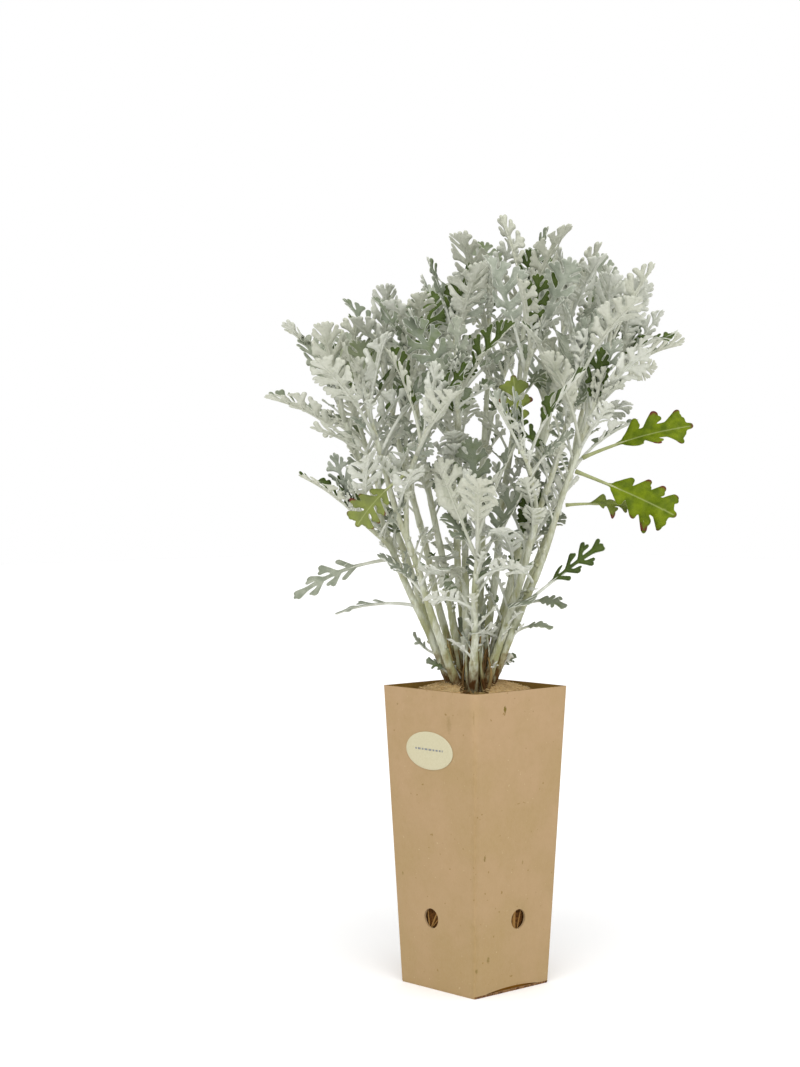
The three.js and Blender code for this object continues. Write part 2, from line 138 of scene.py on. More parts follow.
def bands(rings, count, closed=False):
    """Triangles from each ring of points to the next, and from the last to the first where they close."""
    k = np.arange(count)
    after = (k + 1) % count
    found = []
    for ring in range(rings if closed else rings - 1):
        low, high = ring * count, (ring + 1) % rings * count
        found.append(np.stack([low + k, low + after, high + after], 1))
        found.append(np.stack([low + k, high + after, high + k], 1))
    return np.concatenate(found)


def capped(rings, start, end):
    """A closed skin over rings of equal count, with a point in the middle of both ends."""
    count = len(rings[0])
    k = np.arange(count)
    after = (k + 1) % count
    points = np.concatenate([*rings, [start], [end]])
    last = (len(rings) - 1) * count
    low = np.stack([np.full(count, len(points) - 2), after, k], 1)
    high = np.stack([np.full(count, len(points) - 1), last + k, last + after], 1)
    return points, np.concatenate([bands(len(rings), count), low, high])


def loft(rings):
    return capped(rings, rings[0].mean(0), rings[-1].mean(0))


def tube(path, radii, sides, shape_at=None):
    """A closed tube along a path; shape_at(ring, angles) gives factors of the radius."""
    path = np.asarray(path, float)
    tangents = unit(np.gradient(path, axis=0))
    side = unit(np.cross([0.3, 1.0, 0.1], tangents[0]))
    angles = around(sides)
    rings = []
    for ring, tangent in enumerate(tangents):
        side = unit(side - tangent * (side @ tangent))
        radius = radii[ring] * (shape_at(ring, angles) if shape_at else 1.0)
        aside = np.outer(radius * np.cos(angles), side)
        ahead = np.outer(radius * np.sin(angles), np.cross(tangent, side))
        rings.append(path[ring] + aside + ahead)
    return capped(rings, path[0], path[-1])


def spread(line, spacing=1.0, count=None):
    """Points spread evenly along a closed flat line, by their number or else by their spacing."""
    closed = np.concatenate([line, line[:1]])
    lengths = np.concatenate([[0], np.cumsum(np.linalg.norm(np.diff(closed, axis=0), axis=1))])
    places = np.linspace(0, lengths[-1], count or int(lengths[-1] / spacing), endpoint=False)
    return np.stack([np.interp(places, lengths, closed[:, i]) for i in (0, 1)], 1)


# ---------------------------------------------------------------- the plant's rule, as in the CAD

FAN_TURN = 45
CROWN_BOTTOM = 184
BARK = Named(top=221, step=3)
STEM = Named(foot=2.8, tip=1.45)
FORK = Named(radius=1.8, lead=0.45)
LEAN = 0.54
SHOOT_TURN = 61
MOST_SHOOTS = 3
TRIES = 14
LOOSE_AFTER = 3
SEED = Named(stem=1000, shoot=100, order=15, single=9000, single_step=50, green=7000)

# Each stem's foot and tip, across, away and up in the plant's own axes, and the leaves at its tip.
STEMS = [
    ((-5.5, -3), (-93, -18, 400), 7),
    ((-5.5, 4), (-90, 26, 414), 7),
    ((-4, 9.5), (-66, 54, 430), 7),
    ((-3.5, -9.5), (-72, -44, 396), 7),
    ((-2.5, 0.5), (-46, 4, 434), 8),
    ((-2, 10), (-24, 58, 446), 6),
    ((-2, -5), (-14, -12, 450), 8),
    ((-0.5, 6), (10, 32, 470), 6),
    ((0, 0), (36, 2, 474), 8),
    ((0.5, 6.5), (64, 20, 464), 6),
    ((-1, -10.5), (70, -46, 422), 7),
    ((0.5, 0.5), (94, 4, 446), 7),
    ((1, -6.5), (80, -42, 400), 7),
    ((-2.5, -11), (2, -54, 316), 5),
    ((0, -3.5), (36, -14, 306), 5),
    ((1, 9.5), (56, 92, 404), 5),
]
# Each fork's stem, the share of the stem below it, its tip, and the leaves there.
FORKS = [
    (0, 0.5, (-80, -34, 322), 3),
    (2, 0.55, (-52, 88, 398), 3),
    (3, 0.55, (-30, -66, 384), 4),
    (5, 0.6, (-12, 92, 404), 3),
    (6, 0.6, (-12, -62, 410), 4),
    (7, 0.6, (24, 78, 432), 3),
    (8, 0.62, (38, -46, 436), 4),
    (9, 0.6, (50, 60, 454), 4),
    (10, 0.5, (30, -78, 368), 3),
    (11, 0.62, (80, 54, 444), 4),
    (11, 0.72, (106, 32, 430), 4),
]
# Single leaves: stem, fork, share of the stem below it, heading, rise, bend, roll, length and pairs of lobes,
# then the kind of blade, how green it is, how wide beside its CAD leaf, and its twist.
LOW_LEAVES = [
    (0, None, 0.53, 184, -4, -34, -62, 76, 3, "slim", 0.0, 0.85, 0),
    (0, None, 0.38, 190, 12, -36, -12, 58, 3, "slim", 0.15, 0.7, 0),
    (0, None, 0.22, 200, 16, 50, -40, 24, 2, "plain", 0.2, 1.0, 0),
    (12, None, 0.39, -12, 40, -6, 16, 68, 3, "slim", 1.0, 1.1, 46),
    (11, None, 0.31, -24, 30, -60, 24, 36, 3, "plain", 0.45, 1.0, 0),
    (12, None, 0.29, -25, 38, -60, 20, 32, 3, "plain", 0.45, 1.0, 0),
    (10, None, 0.24, -70, 46, -30, 40, 22, 2, "plain", 0.3, 1.0, 0),
    (13, None, 0.34, -160, 52, -30, 8, 24, 2, "plain", 0.2, 1.0, 0),
    (13, None, 0.5, -40, 50, -20, 20, 26, 2, "plain", 0.3, 1.0, 0),
    (13, None, 0.86, 172, 66, 4, 58, 72, 4, "fine", 0.1, 1.1, 0),
    (6, None, 0.3, 190, 64, -20, 30, 40, 2, "fine", 0.4, 1.1, 0),
    (3, None, 0.42, 172, 58, -28, -20, 44, 3, "fine", 0.3, 1.1, 0),
    (8, None, 0.46, -24, 66, -24, 30, 52, 3, "fine", 0.4, 1.1, 0),
]
# The green leaves in the same way, then their kind of blade and how much of their felt they still have.
GREEN_LEAVES = [
    (12, None, 0.84, -8, 24, -16, 54, 76, 3, "broad", 0.0),
    (12, None, 0.8, -22, -20, -6, 62, 76, 4, "broad", 0.0),
    (12, None, 0.7, -6, 6, -14, 14, 46, 3, "broad", 0.5),
    (3, 0, 0.66, 196, -34, -24, -56, 50, 4, "lobed", 1.0),
    (10, 0, 0.96, 118, 82, -6, -12, 52, 3, "lobed", 0.7),
]
# The leaves round a tip, from the youngest: length, rise, bend, pairs of lobes, distance below the tip.
ROSETTE = [
    (48, 80, -10, 2, 0),
    (62, 76, -16, 2, 5),
    (74, 70, -22, 3, 12),
    (82, 64, -26, 3, 20),
    (80, 60, -32, 3, 30),
    (66, 56, -34, 2, 44),
    (58, 54, -30, 2, 70),
    (50, 56, -30, 2, 104),
]
FULL_LENGTH = 84
LEAF_FULLNESS = 1.22
# What a leaf has where nothing else is given.
PLAIN_LEAF = dict(kind="fine", twist=0, given_twist=0, given_green=None, yellow=0, liveliness=1.0,
                  fullness=LEAF_FULLNESS)


class Curve:
    """A curve from its start through a knee to its end."""

    def __init__(self, start, knee, end):
        self.start, self.knee, self.end = (np.array(p, float) for p in (start, knee, end))
        self.length = np.linalg.norm(np.diff(self.point(np.linspace(0, 1, 201)), axis=0), axis=1).sum()

    def point(self, share):
        t = np.asarray(share, float)[..., None]
        return (1 - t) ** 2 * self.start + 2 * t * (1 - t) * self.knee + t**2 * self.end

    def tangent(self, share):
        t = np.asarray(share, float)[..., None]
        return unit((1 - t) * (self.knee - self.start) + t * (self.end - self.knee))

    def share_at_level(self, up):
        shares = np.linspace(0, 1, 4001)
        return float(np.interp(up, self.point(shares)[:, 2], shares))


def stem_curve(foot, tip):
    foot, tip = np.array([*foot, CROWN_BOTTOM]), np.array(tip, float)
    return Curve(foot, foot + (tip - foot) * [LEAN, LEAN, 1 - LEAN], tip)


def fork_curve(stem, share, tip):
    start = stem.point(share)
    reach = np.linalg.norm(np.array(tip) - start) * FORK.lead
    return Curve(start, start + stem.tangent(share) * reach, tip)


def leaf_at(root, axis, heading, **shape):
    eastward = unit(np.cross([0.0, 1.0, 0.0], axis))
    northward = np.cross(axis, eastward)
    out = eastward * cos(radians(heading)) + northward * sin(radians(heading))
    return Named(root=root, axis=axis, out=out, side=np.cross(axis, out), **{**PLAIN_LEAF, **shape})


def leaf_points(leaf, along, across, lift):
    """Points of a leaf: along from its root, across from its midrib, lifted above its upper face."""
    rise, curvature = radians(leaf.rise), radians(leaf.bend) / leaf.length
    turn = rise + curvature * along
    outward = (np.sin(turn) - sin(rise)) / curvature
    upward = (cos(rise) - np.cos(turn)) / curvature
    roll = np.radians(leaf.roll + leaf.twist * along / leaf.length)[..., None]
    up = np.outer(np.cos(turn), leaf.axis) - np.outer(np.sin(turn), leaf.out)
    side = leaf.side * np.cos(roll) + up * np.sin(roll)
    normal = up * np.cos(roll) - leaf.side * np.sin(roll)
    fold = radians(leaf.fold)
    place = leaf.root + np.outer(outward, leaf.out) + np.outer(upward, leaf.axis)
    folded_up = np.abs(across) * sin(fold) + lift
    return place + side * (across * cos(fold))[:, None] + normal * folded_up[:, None]


def rosette_leaf(shoot, order, draw, slack):
    length, rise, bend, pairs, drop = ROSETTE[order]
    share = 1 - drop / shoot.curve.length
    heading = shoot.turn + order * GOLDEN_ANGLE + draw(-12, 12) + slack * draw(-30, 30)
    return leaf_at(
        shoot.curve.point(share), unit(shoot.curve.tangent(share) + UP), heading,
        length=length * draw(0.86, 1.1), rise=rise + slack * draw(-9, 9), bend=bend + draw(-12, 6),
        roll=slack * draw(-22, 22), fold=draw(18, 34), stalk=draw(0.32, 0.42),
        half_width=length / FULL_LENGTH * draw(11, 14), pairs=pairs,
    )


def single_leaf(shoot, row, draw, slack):
    share, heading, rise, bend, roll, length, pairs = row[2:9]
    return leaf_at(
        shoot.curve.point(share), UP, heading + slack * draw(-14, 14),
        length=length, rise=rise + slack * draw(-8, 8), bend=bend, roll=roll + slack * draw(-8, 8),
        fold=14, stalk=0.36, half_width=4 + length / 9, pairs=pairs,
    )


def lobe_reach(k, step):
    """How far a lobe reaches beside the widest one, which lies just past the blade's middle."""
    return 1 - 2.4 * ((k + 0.9) * step - 0.55) ** 2


def lobe_corners(leaf):
    """The outer corners of a CAD leaf's lobes, along and across."""
    step = 1 / (leaf.pairs + 0.75)
    corners = []
    for k in range(leaf.pairs):
        reach = lobe_reach(k, step)
        corners += [((k + 0.72) * step, reach), ((k + 1.22) * step, 0.86 * reach)]
    corners = np.array([*corners, (1, 0.26)])
    stalk = leaf.length * leaf.stalk
    return stalk + corners[:, 0] * (leaf.length - stalk), corners[:, 1] * leaf.half_width


# How near a corner counts as found, a CAD blade's half thickness, and the shares of corners that are enough.
FOUND = Named(near=0.1, half=0.4, some=0.55, most=0.9)


def found_share(leaf, tree):
    """The share of a leaf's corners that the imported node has."""
    along, across = lobe_corners(leaf)
    corners = [
        leaf_points(leaf, along, side * across, np.full(len(along), lift))
        for lift in (FOUND.half, -FOUND.half)
        for side in (1, -1)
    ]
    corners = np.concatenate(corners)
    return sum(tree.find(corner)[2] < FOUND.near for corner in corners) / len(corners)


def tree_of(node):
    """A CAD node's points, in millimetres and in the plant's own axes, for finding the nearest one."""
    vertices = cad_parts[node].data.vertices
    points = np.empty(3 * len(vertices))
    vertices.foreach_get("co", points)
    tree = KDTree(len(vertices))
    for i, point in enumerate(turned(points.reshape(-1, 3) / MM, -FAN_TURN)):
        tree.insert(point, i)
    tree.balance()
    return tree


def packed_leaf(make, seed, tree):
    """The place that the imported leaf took, or None where it found no place."""
    for attempt in range(TRIES):
        leaf = make(Draws(seed + attempt), min(1, attempt / LOOSE_AFTER))
        if found_share(leaf, tree) > FOUND.some:
            return leaf
    return None


def grow_stem(index):
    foot, tip, leaves = STEMS[index]
    curve = stem_curve(foot, tip)
    shoots = [(curve, leaves)]
    shoots += [(fork_curve(curve, share, end), count) for of, share, end, count in FORKS if of == index]
    shoots = [
        Named(
            curve=shoot, turn=(index * MOST_SHOOTS + k) * SHOOT_TURN, leaves=count,
            seed=SEED.stem * (index + 1) + SEED.shoot * k,
        )
        for k, (shoot, count) in enumerate(shoots)
    ]
    bark_top = BARK.top + BARK.step * (index * 5 % 4)
    return Named(name=f"stem_{index + 1:02d}", shoots=shoots, leaves=[], start=curve.share_at_level(bark_top))


stems = [grow_stem(i) for i in range(len(STEMS))]


def shoot_of(row):
    return stems[row[0]].shoots[0 if row[1] is None else row[1] + 1]


def find_leaves():
    for index, stem in enumerate(stems):
        tree = tree_of(stem.name)
        for k, row in enumerate(LOW_LEAVES):
            if row[0] == index:
                leaf = packed_leaf(partial(single_leaf, shoot_of(row), row), SEED.single + SEED.single_step * k, tree)
                if leaf:
                    leaf.kind, leaf.given_green, leaf.fullness, leaf.given_twist = row[9:]
                stem.leaves.append(leaf)
        for order in range(len(ROSETTE)):
            for shoot in stem.shoots:
                if order < shoot.leaves:
                    make = partial(rosette_leaf, shoot, order)
                    stem.leaves.append(packed_leaf(make, shoot.seed + SEED.order * order, tree))
        stem.leaves = [leaf for leaf in stem.leaves if leaf]


def find_green_leaf(k):
    """A green leaf, moved out from its stem as far as its CAD leaf was."""
    row = GREEN_LEAVES[k]
    tree = tree_of(f"green_leaf_{k + 1}")
    leaf = single_leaf(shoot_of(row), row, Draws(SEED.green + k), 0)
    for _ in range(120):
        if found_share(leaf, tree) > FOUND.most:
            return leaf
        leaf.root = leaf.root + leaf.out * 0.1
    return None


find_leaves()


# ---------------------------------------------------------------- materials

STUDIO_LIGHT = 1.25


def colour(shown):
    """A colour given in 0..255 as the studio's light shows it on a screen, as a shader's value."""
    if isinstance(shown, Value):
        return shown
    parts = [c / 255 for c in shown]
    return (*((c / 12.92 if c <= 0.04045 else ((c + 0.055) / 1.055) ** 2.4) / STUDIO_LIGHT for c in parts), 1.0)


def operation(name):
    return lambda self, other=0.0: self.graph.value("ShaderNodeMath", {0: self, 1: other}, operation=name)


class Value:
    """A value in a material's graph, and what can be made from it."""

    __add__, __sub__, __mul__ = operation("ADD"), operation("SUBTRACT"), operation("MULTIPLY")
    __truediv__, __pow__, __abs__ = operation("DIVIDE"), operation("POWER"), operation("ABSOLUTE")

    def __init__(self, graph, socket):
        self.graph, self.socket = graph, socket

    def step(self, low, high, to_low=0.0, to_high=1.0):
        """Its rise between two levels, mapped to two others."""
        values = {"Value": self, "From Min": low, "From Max": high, "To Min": to_low, "To Max": to_high}
        return self.graph.value("ShaderNodeMapRange", values, clamp=True)

    def pick(self, first, second, blend="MIX"):
        """The first colour where it is 0, and the second where it is 1."""
        values = {0: self, 6: colour(first), 7: colour(second)}
        return self.graph.value("ShaderNodeMix", values, 2, data_type="RGBA", blend_type=blend)

    def coat(self, share, over, blend="MIX"):
        """This colour with a share of another over it."""
        return share.pick(self, over, blend)


class Graph:
    """The nodes of one procedural material."""

    def __init__(self, name, roughness, specular=0.15):
        self.material = bpy.data.materials.new(name)
        self.material.use_nodes = True
        self.tree = self.material.node_tree
        self.tree.nodes.clear()
        output = self.node("ShaderNodeOutputMaterial")
        values = {"Roughness": roughness, "Specular IOR Level": specular}
        self.shader = self.node("ShaderNodeBsdfPrincipled", values)
        self.tree.links.new(self.shader.outputs["BSDF"], output.inputs["Surface"])
        self.place = self.value("ShaderNodeTexCoord", {}, "Object")

    def node(self, kind, inputs=None, **settings):
        made = self.tree.nodes.new(kind)
        for name, value in settings.items():
            setattr(made, name, value)
        for key, value in (inputs or {}).items():
            self.feed(made.inputs[key], value)
        return made

    def value(self, kind, inputs, output=0, **settings):
        return Value(self, self.node(kind, inputs, **settings).outputs[output])

    def feed(self, socket, value):
        if isinstance(value, Value):
            self.tree.links.new(value.socket, socket)
        else:
            socket.default_value = value

    def noise(self, size, detail=2.0, roughness=0.5, drawn_out=None):
        """Noise with features of a size in millimetres, drawn out by a factor along each axis."""
        place = self.place
        if drawn_out:
            scale = tuple(1 / factor for factor in drawn_out)
            place = self.value("ShaderNodeMapping", {"Vector": place, "Scale": scale})
        values = {"Vector": place, "Scale": 1 / (size * MM), "Detail": detail, "Roughness": roughness}
        return self.value("ShaderNodeTexNoise", values)

    def marks(self, names):
        return [self.value("ShaderNodeAttribute", {}, "Fac", attribute_name=name) for name in names.split()]

    def axis(self, name):
        """The place along an axis, in metres."""
        return self.value("ShaderNodeSeparateXYZ", {"Vector": self.place}, name)

    def painted(self, base, height, depth):
        """The finished material: its colour, and its bumps with their depth in millimetres."""
        values = {"Height": height, "Distance": depth * MM, "Strength": 1.0}
        self.feed(self.shader.inputs["Normal"], self.value("ShaderNodeBump", values))
        self.feed(self.shader.inputs["Base Color"], base)
        return self.material


def felted_leaf():
    """Felt that is thick underneath and thin above, where it may show the bare green leaf."""
    graph = Graph("felted leaf", 0.9)
    upper, inner, green, tone, rib = graph.marks("upper inner green tone rib")
    patches, wool, creases = graph.noise(9, 3), graph.noise(1.0, 3, 0.7), graph.noise(2.2, 2, 0.5)
    mottle = patches.step(0.35, 0.65)
    rim = inner.step(0.20, 0.03)
    # The valleys between the ribs, away from the rim, where the undersides get painted shade.
    painted_valley_shade = rib.step(0.55, 0.0) * inner.step(0.25, 0.7)
    under = mottle.pick((223, 226, 209), (244, 246, 235))
    # Painted shade on the undersides along the crease noise, which also bumps them.
    under = under.coat(creases.step(0.35, 0.65) * 0.5, (192, 196, 172))
    # Painted shade in the valleys, then a painted highlight along the ribs.
    under = under.coat(painted_valley_shade * 0.4, (176, 180, 156)).coat(rib.step(0.0, 0.9) * 0.55, (247, 248, 236))
    under = under.coat(rim * 0.35, (247, 248, 238)).coat(wool.step(0.3, 0.7, 0.0, 0.12), (255, 255, 255))
    bare = patches.step(0.3, 0.7).pick((52, 72, 6), (80, 102, 20))
    bare = bare.coat(wool.step(0.5, 0.8) * 0.18, (124, 140, 80))
    bared = green + patches.step(0.3, 0.7, -0.16, 0.16)
    over = bared.step(0.3, 0.75).pick(mottle.pick((150, 158, 141), (191, 196, 181)), bare)
    over = over.coat(rib * 0.08, (196, 202, 178)).coat(rim * 0.8, (234, 238, 224))
    base = upper.pick(under, over)
    base = base.coat(tone.step(0.4, 0.8, 0.0, 0.25), (214, 212, 170), "MULTIPLY")
    base = base.coat(tone.step(1.0, 2.0), (214, 224, 166))
    return graph.painted(base, wool + creases * 2.0, 0.35)


def green_leaf_material():
    """A leaf with hardly any felt, brown at the tips of its outer lobes."""
    graph = Graph("green leaf", 0.7)
    upper, inner, tone, rib, mid, far = graph.marks("upper inner tone rib mid far")
    mottle = graph.noise(7, 3).step(0.35, 0.65)
    base = mottle.pick((84, 104, 0), (120, 138, 8)).coat(tone * 0.42, (164, 166, 118))
    base = base.coat(rib * 0.10, (150, 162, 70)).coat(mid.step(0.6, 1.0, 0.0, 0.5), (186, 194, 130))
    base = upper.pick(mottle.pick((156, 166, 112), (180, 188, 142)), base)
    base = base.coat(inner.step(0.10, 0.02) * 0.45, (190, 192, 140))
    tips = far.step(0.72, 0.98) * inner.step(0.95, 0.35)
    base = base.coat(tips * graph.noise(5, 2).step(0.38, 0.46), (112, 46, 44))
    return graph.painted(base, graph.noise(1.8, 3, 0.6), 0.35)


def stem_skin(graph, strands):
    """Felt that thins out to olive and then to brown bark towards the foot of a stem."""
    height, tone = graph.axis("Z"), graph.marks("tone")[0]
    blotches, patches = graph.noise(9, 3, 0.6, (1, 1, 2.5)), graph.noise(4, 3, 0.6, (1, 1, 2.0))
    olive = height.step(0.38, 0.24) * blotches.step(0.42, 0.6)
    felt = strands.step(0.3, 0.7).pick((204, 207, 182), (240, 242, 225)).coat(olive * 0.75, (152, 154, 92))
    worn = (height + tone * 0.016).step(0.246, 0.223) + patches.step(0.35, 0.65, -0.35, 0.35)
    deep = height.step(0.226, 0.209) * patches.step(0.3, 0.7, 1.0, 0.55)
    brown = patches.step(0.38, 0.66).pick((152, 128, 74), (106, 70, 34)).coat(deep, (84, 50, 18))
    return worn.step(0.35, 1.1).pick(felt.coat(worn.step(0.0, 0.5, 0.0, 0.6), (178, 174, 124)), brown)


def stem_strands(graph):
    return graph.noise(1.3, 3, 0.65, (1, 1, 5))


def stem_material():
    graph = Graph("felted stem", 0.9)
    strands = stem_strands(graph)
    return graph.painted(stem_skin(graph, strands), strands, 0.5)


def bark_material():
    graph = Graph("bark", 0.9)
    upper, rib = graph.marks("upper rib")
    strands = stem_strands(graph)
    base = strands.step(0.3, 0.7).pick((76, 46, 18), (140, 102, 56)).coat(rib * 0.9, (200, 180, 120))
    return graph.painted(base.coat(upper, stem_skin(graph, strands)), strands, 0.6)


def grainy_material(name, roughness, grain, steps, dark, light, strength, toned, depth):
    """Two colours in a grain, and a third where a piece is marked with a tone."""
    graph = Graph(name, roughness)
    grain = graph.noise(*grain)
    tone = graph.marks("tone")[0]
    base = grain.step(*steps).pick(dark, light).coat(tone * strength, toned)
    return graph.painted(base, grain, depth)


POT = Named(top=90, base=72, height=206, board=1.6, floor=3.2)
# Small stains on the two front walls: the wall's axis, along and up it, half its width and height, strength.
STAINS = [
    ("X", -16, 194, 1.4, 2.5, 0.9),
    ("Y", 19.5, 184, 2.4, 5.5, 0.2),
    ("Y", 42.6, 190, 0.9, 5, 0.3),
    ("X", -31, 95, 0.9, 2.2, 0.6),
    ("X", 5.4, 88, 0.7, 1.5, 0.4),
    ("X", -24.4, 25, 1.2, 2.2, 0.5),
    ("X", -35, 19, 1.1, 1.6, 0.5),
    ("Y", -30.7, 76.5, 0.8, 1.3, 0.4),
    ("Y", -30.8, 194, 0.8, 0.9, 0.4),
]


def stains(graph, base, height):
    """Olive stains where the wall was touched by wet hands."""
    ragged = graph.noise(1.7, 3, 0.6).step(0.3, 0.7, -0.8, 0.8)
    half = height.step(0.0, POT.height * MM, POT.base * MM / 2, POT.top * MM / 2)
    for wall, along, up, wide, high, strength in STAINS:
        front, other = (1, "Y") if wall == "X" else (-1, "X")
        sideways = ((graph.axis(other) - along * MM) / (wide * MM)) ** 2.0
        upward = ((height - up * MM) / (high * MM)) ** 2.0
        near = (sideways + upward + ragged).step(1.3, 0.3)
        shown = (graph.axis(wall) / half).step(front * 0.97, front * 0.985)
        base = base.coat(near * shown * strength, (112, 96, 18))
    return base


def board_material():
    """Kraft board: clouds, mottle and fibres, flecks, the fold, partly worn and partly painted shade, insides
    darkened as painted shade, stains, and the cut edges with painted shade in their flutes and recess.
    """
    graph = Graph("kraft board", 0.9)
    height, x, y = graph.axis("Z"), graph.axis("X"), graph.axis("Y")
    fold, inside = graph.marks("rib inner")
    clouds, mottle = graph.noise(46, 3, 0.5), graph.noise(6, 4, 0.6)
    fibres = graph.noise(1.1, 3, 0.7, (1, 1, 2.0))
    base = height.step(0.0, POT.height * MM).pick((182, 154, 112), (194, 163, 124))
    base = base.coat(clouds.step(0.45, 0.7, 0.0, 0.55), (181, 154, 106))
    base = base.coat(mottle.step(0.4, 0.68, 0.0, 0.24), (174, 146, 98))
    base = base.coat(clouds.step(0.52, 0.32, 0.0, 0.35), (200, 167, 130))
    base = base.coat(fibres.step(0.3, 0.7, 0.0, 0.14), (212, 186, 148))
    base = base.coat(graph.noise(2.2, 1, 0.5).step(0.74, 0.80) * 0.4, (226, 206, 168))
    base = base.coat(graph.noise(3.1, 1, 0.5).step(0.745, 0.785) * 0.6, (140, 112, 52))
    # The front fold darkened: partly wear, partly painted shade that tones down its highlight.
    base = base.coat(fold * mottle.step(0.3, 0.65, 0.35, 0.9) * 0.3, (150, 124, 70))
    # Painted shade: the inside walls are a darker olive-brown.
    base = base.coat(inside, clouds.step(0.35, 0.6).pick((132, 100, 34), (170, 136, 70)))
    base = stains(graph, base, height)
    # The cut edge of the flap under the arch, with its flutes; their dark gaps are painted shade.
    flutes = graph.noise(1.6, 1, 0.5, (4, 1, 4)).step(0.42, 0.58)
    flap = height.step(0.0018, 0.0014) * x.step(0.0352, 0.0356)
    base = base.coat(flap, flutes.pick((92, 58, 34), (150, 112, 74)))
    # Painted shade: the back of the recess under the arch is a darker brown.
    painted_recess_shade = height.step(0.0045, 0.0040) * x.step(0.0358, 0.0350)
    painted_recess_shade = painted_recess_shade * x.step(0.030, 0.031) * abs(y).step(0.0315, 0.0305)
    return graph.painted(base.coat(painted_recess_shade, (160, 112, 36)), fibres, 0.08)


FELTED, GREEN_LEAF, FELTED_STEM = felted_leaf(), green_leaf_material(), stem_material()
BARK_SKIN, BOARD = bark_material(), board_material()
COIR = grainy_material(
    "coir", 0.95, (0.9, 4, 0.7), (0.3, 0.7), (252, 208, 142), (255, 236, 184), 0.7, (190, 134, 66), 0.5)
EARTH = grainy_material(
    "potting soil", 0.95, (1.6, 4, 0.7), (0.35, 0.65), (62, 33, 8), (124, 81, 35), 1.0, (186, 142, 82), 0.8)
PAPER = grainy_material(
    "paper", 0.8, (1.2, 3, 0.6), (0.3, 0.7), (216, 208, 172), (223, 216, 184), 0.75, (112, 124, 146), 0.05)


# ---------------------------------------------------------------- leaf blades

BLADE = Named(length=50.0, half_width=15.0, into_stalk=3.0)
# The grid that a blade's outline is found on: its spacing, how far it reaches past the blade and to each side.
FIELD = Named(grain=0.5, below=2, past=5, aside=20, shift=0.13)
# The spacing of a blade's points, along its rim and inside it.
FINE = Named(rim=1.05, inside=2.3)
COARSE = Named(rim=1.8, inside=3.4)
PLAIN = Named(rim=2.6, inside=4.4)
BLEND = 0.25
VARIANTS = 5
FOLD_LINE = 1.9
LOBED_CORE = 0.42
# The fingers of each lobe on one side, from the stalk on, and of half the end lobe, by the pairs in the CAD.
FINGERS = {2: (2, 3, 2, 1), 3: (2, 3, 3, 2, 2), 4: (2, 3, 3, 3, 2, 1)}
LOBE_GAP = 1.15
TIP_LINE = Named(middle=25.0, along=23.4, across=13.6, first=150)
FINGER = Named(hub=0.46, palm=0.55, foot=0.34, tip=0.43)


def on_rib(along):
    """A place on a blade's midrib."""
    return np.array([along, 0.0])


def turned_flat(vector, degrees):
    c, s = cos(radians(degrees)), sin(radians(degrees))
    return np.array([c * vector[0] - s * vector[1], s * vector[0] + c * vector[1]])


def tip_line():
    """The line that a blade's finger tips end on, from beside the stalk to the apex, with its length so far."""
    angles = np.radians(np.linspace(TIP_LINE.first, 0, 300))
    x = TIP_LINE.middle + TIP_LINE.along * np.cos(angles)
    y = TIP_LINE.across * np.sin(angles) * (1 + 0.1 * np.cos(angles))
    return np.stack([x, y], 1), np.concatenate([[0], np.cumsum(np.hypot(np.diff(x), np.diff(y)))])


def finger_rods(hub, tip, spacing):
    """A finger of a lobe: a thin palm from the lobe's hub, then a finger with a round end."""
    palm = hub + FINGER.palm * (tip - hub)
    foot, end = FINGER.foot * spacing, FINGER.tip * spacing
    return [(hub, palm, 2.2, foot), (palm, tip, foot, end)]


def cut_blade_rods(pairs, draw):
    """The rods that make up a finely cut blade, with their start, end, and radius at both, and its veins."""
    line, lengths = tip_line()
    groups = FINGERS[pairs]
    spacing = lengths[-1] / (sum(count - 1 + LOBE_GAP for count in groups) - LOBE_GAP + 1)
    end_hub = on_rib(0.76 * BLADE.length)
    rods = [((-BLADE.into_stalk, 0), end_hub, 1.4, 3.4)]
    veins = []
    for side in (1, -1):
        place = draw(-0.2, 0.2)
        for k, count in enumerate(groups):
            tips = []
            for _ in range(count):
                at = min(lengths[-1], (place + draw(-0.12, 0.12)) * spacing)
                tip = np.array([np.interp(at, lengths, line[:, i]) for i in (0, 1)])
                tips.append(tip * [1, side * draw(0.93, 1.05)])
                place += 1
            place += LOBE_GAP - 1
            hub = end_hub
            if k < len(groups) - 1:
                middle = np.mean(tips, 0)
                lean = 0.4 + 0.4 * k / (len(groups) - 2)
                start = on_rib(middle[0] - abs(middle[1]) * lean)
                hub = start + FINGER.hub * (middle - start)
                rods.append((start, hub, 2.3, 2.6))
                veins.append((start, start + 0.8 * (middle - start)))
            for tip in tips:
                rods += finger_rods(hub, hub + (tip - hub) * draw(0.9, 1.06), spacing)
    rods += finger_rods(end_hub, line[-1] + [draw(-1, 0.5), draw(-0.6, 0.6)], spacing)
    return rods, veins


def slim_blade_rods(pairs, draw):
    """The rods of a slender leaf's blade, with a few long single fingers."""
    apex = on_rib(0.8 * BLADE.length)
    rods = [((-BLADE.into_stalk, 0), apex, 1.6, 2.6)]
    step = 0.7 * BLADE.length / pairs
    for k in range(pairs):
        for side in (1, -1):
            start = on_rib(3 + (k + draw(-0.12, 0.12)) * step)
            end = start + [draw(7, 10), side * draw(8.5, 12)]
            rods.append((start, end, 2.0, 2.2))
            if k > 0:
                fork = start + 0.55 * (end - start)
                rods.append((fork, fork + [draw(6, 7), side * draw(0.5, 2.5)], 1.8, 2.0))
    for turn in (-30, 4, 34):
        rods.append((apex, apex + turned_flat([draw(7, 9), 0.0], turn + draw(-5, 5)), 2.4, 2.1))
    return rods, []


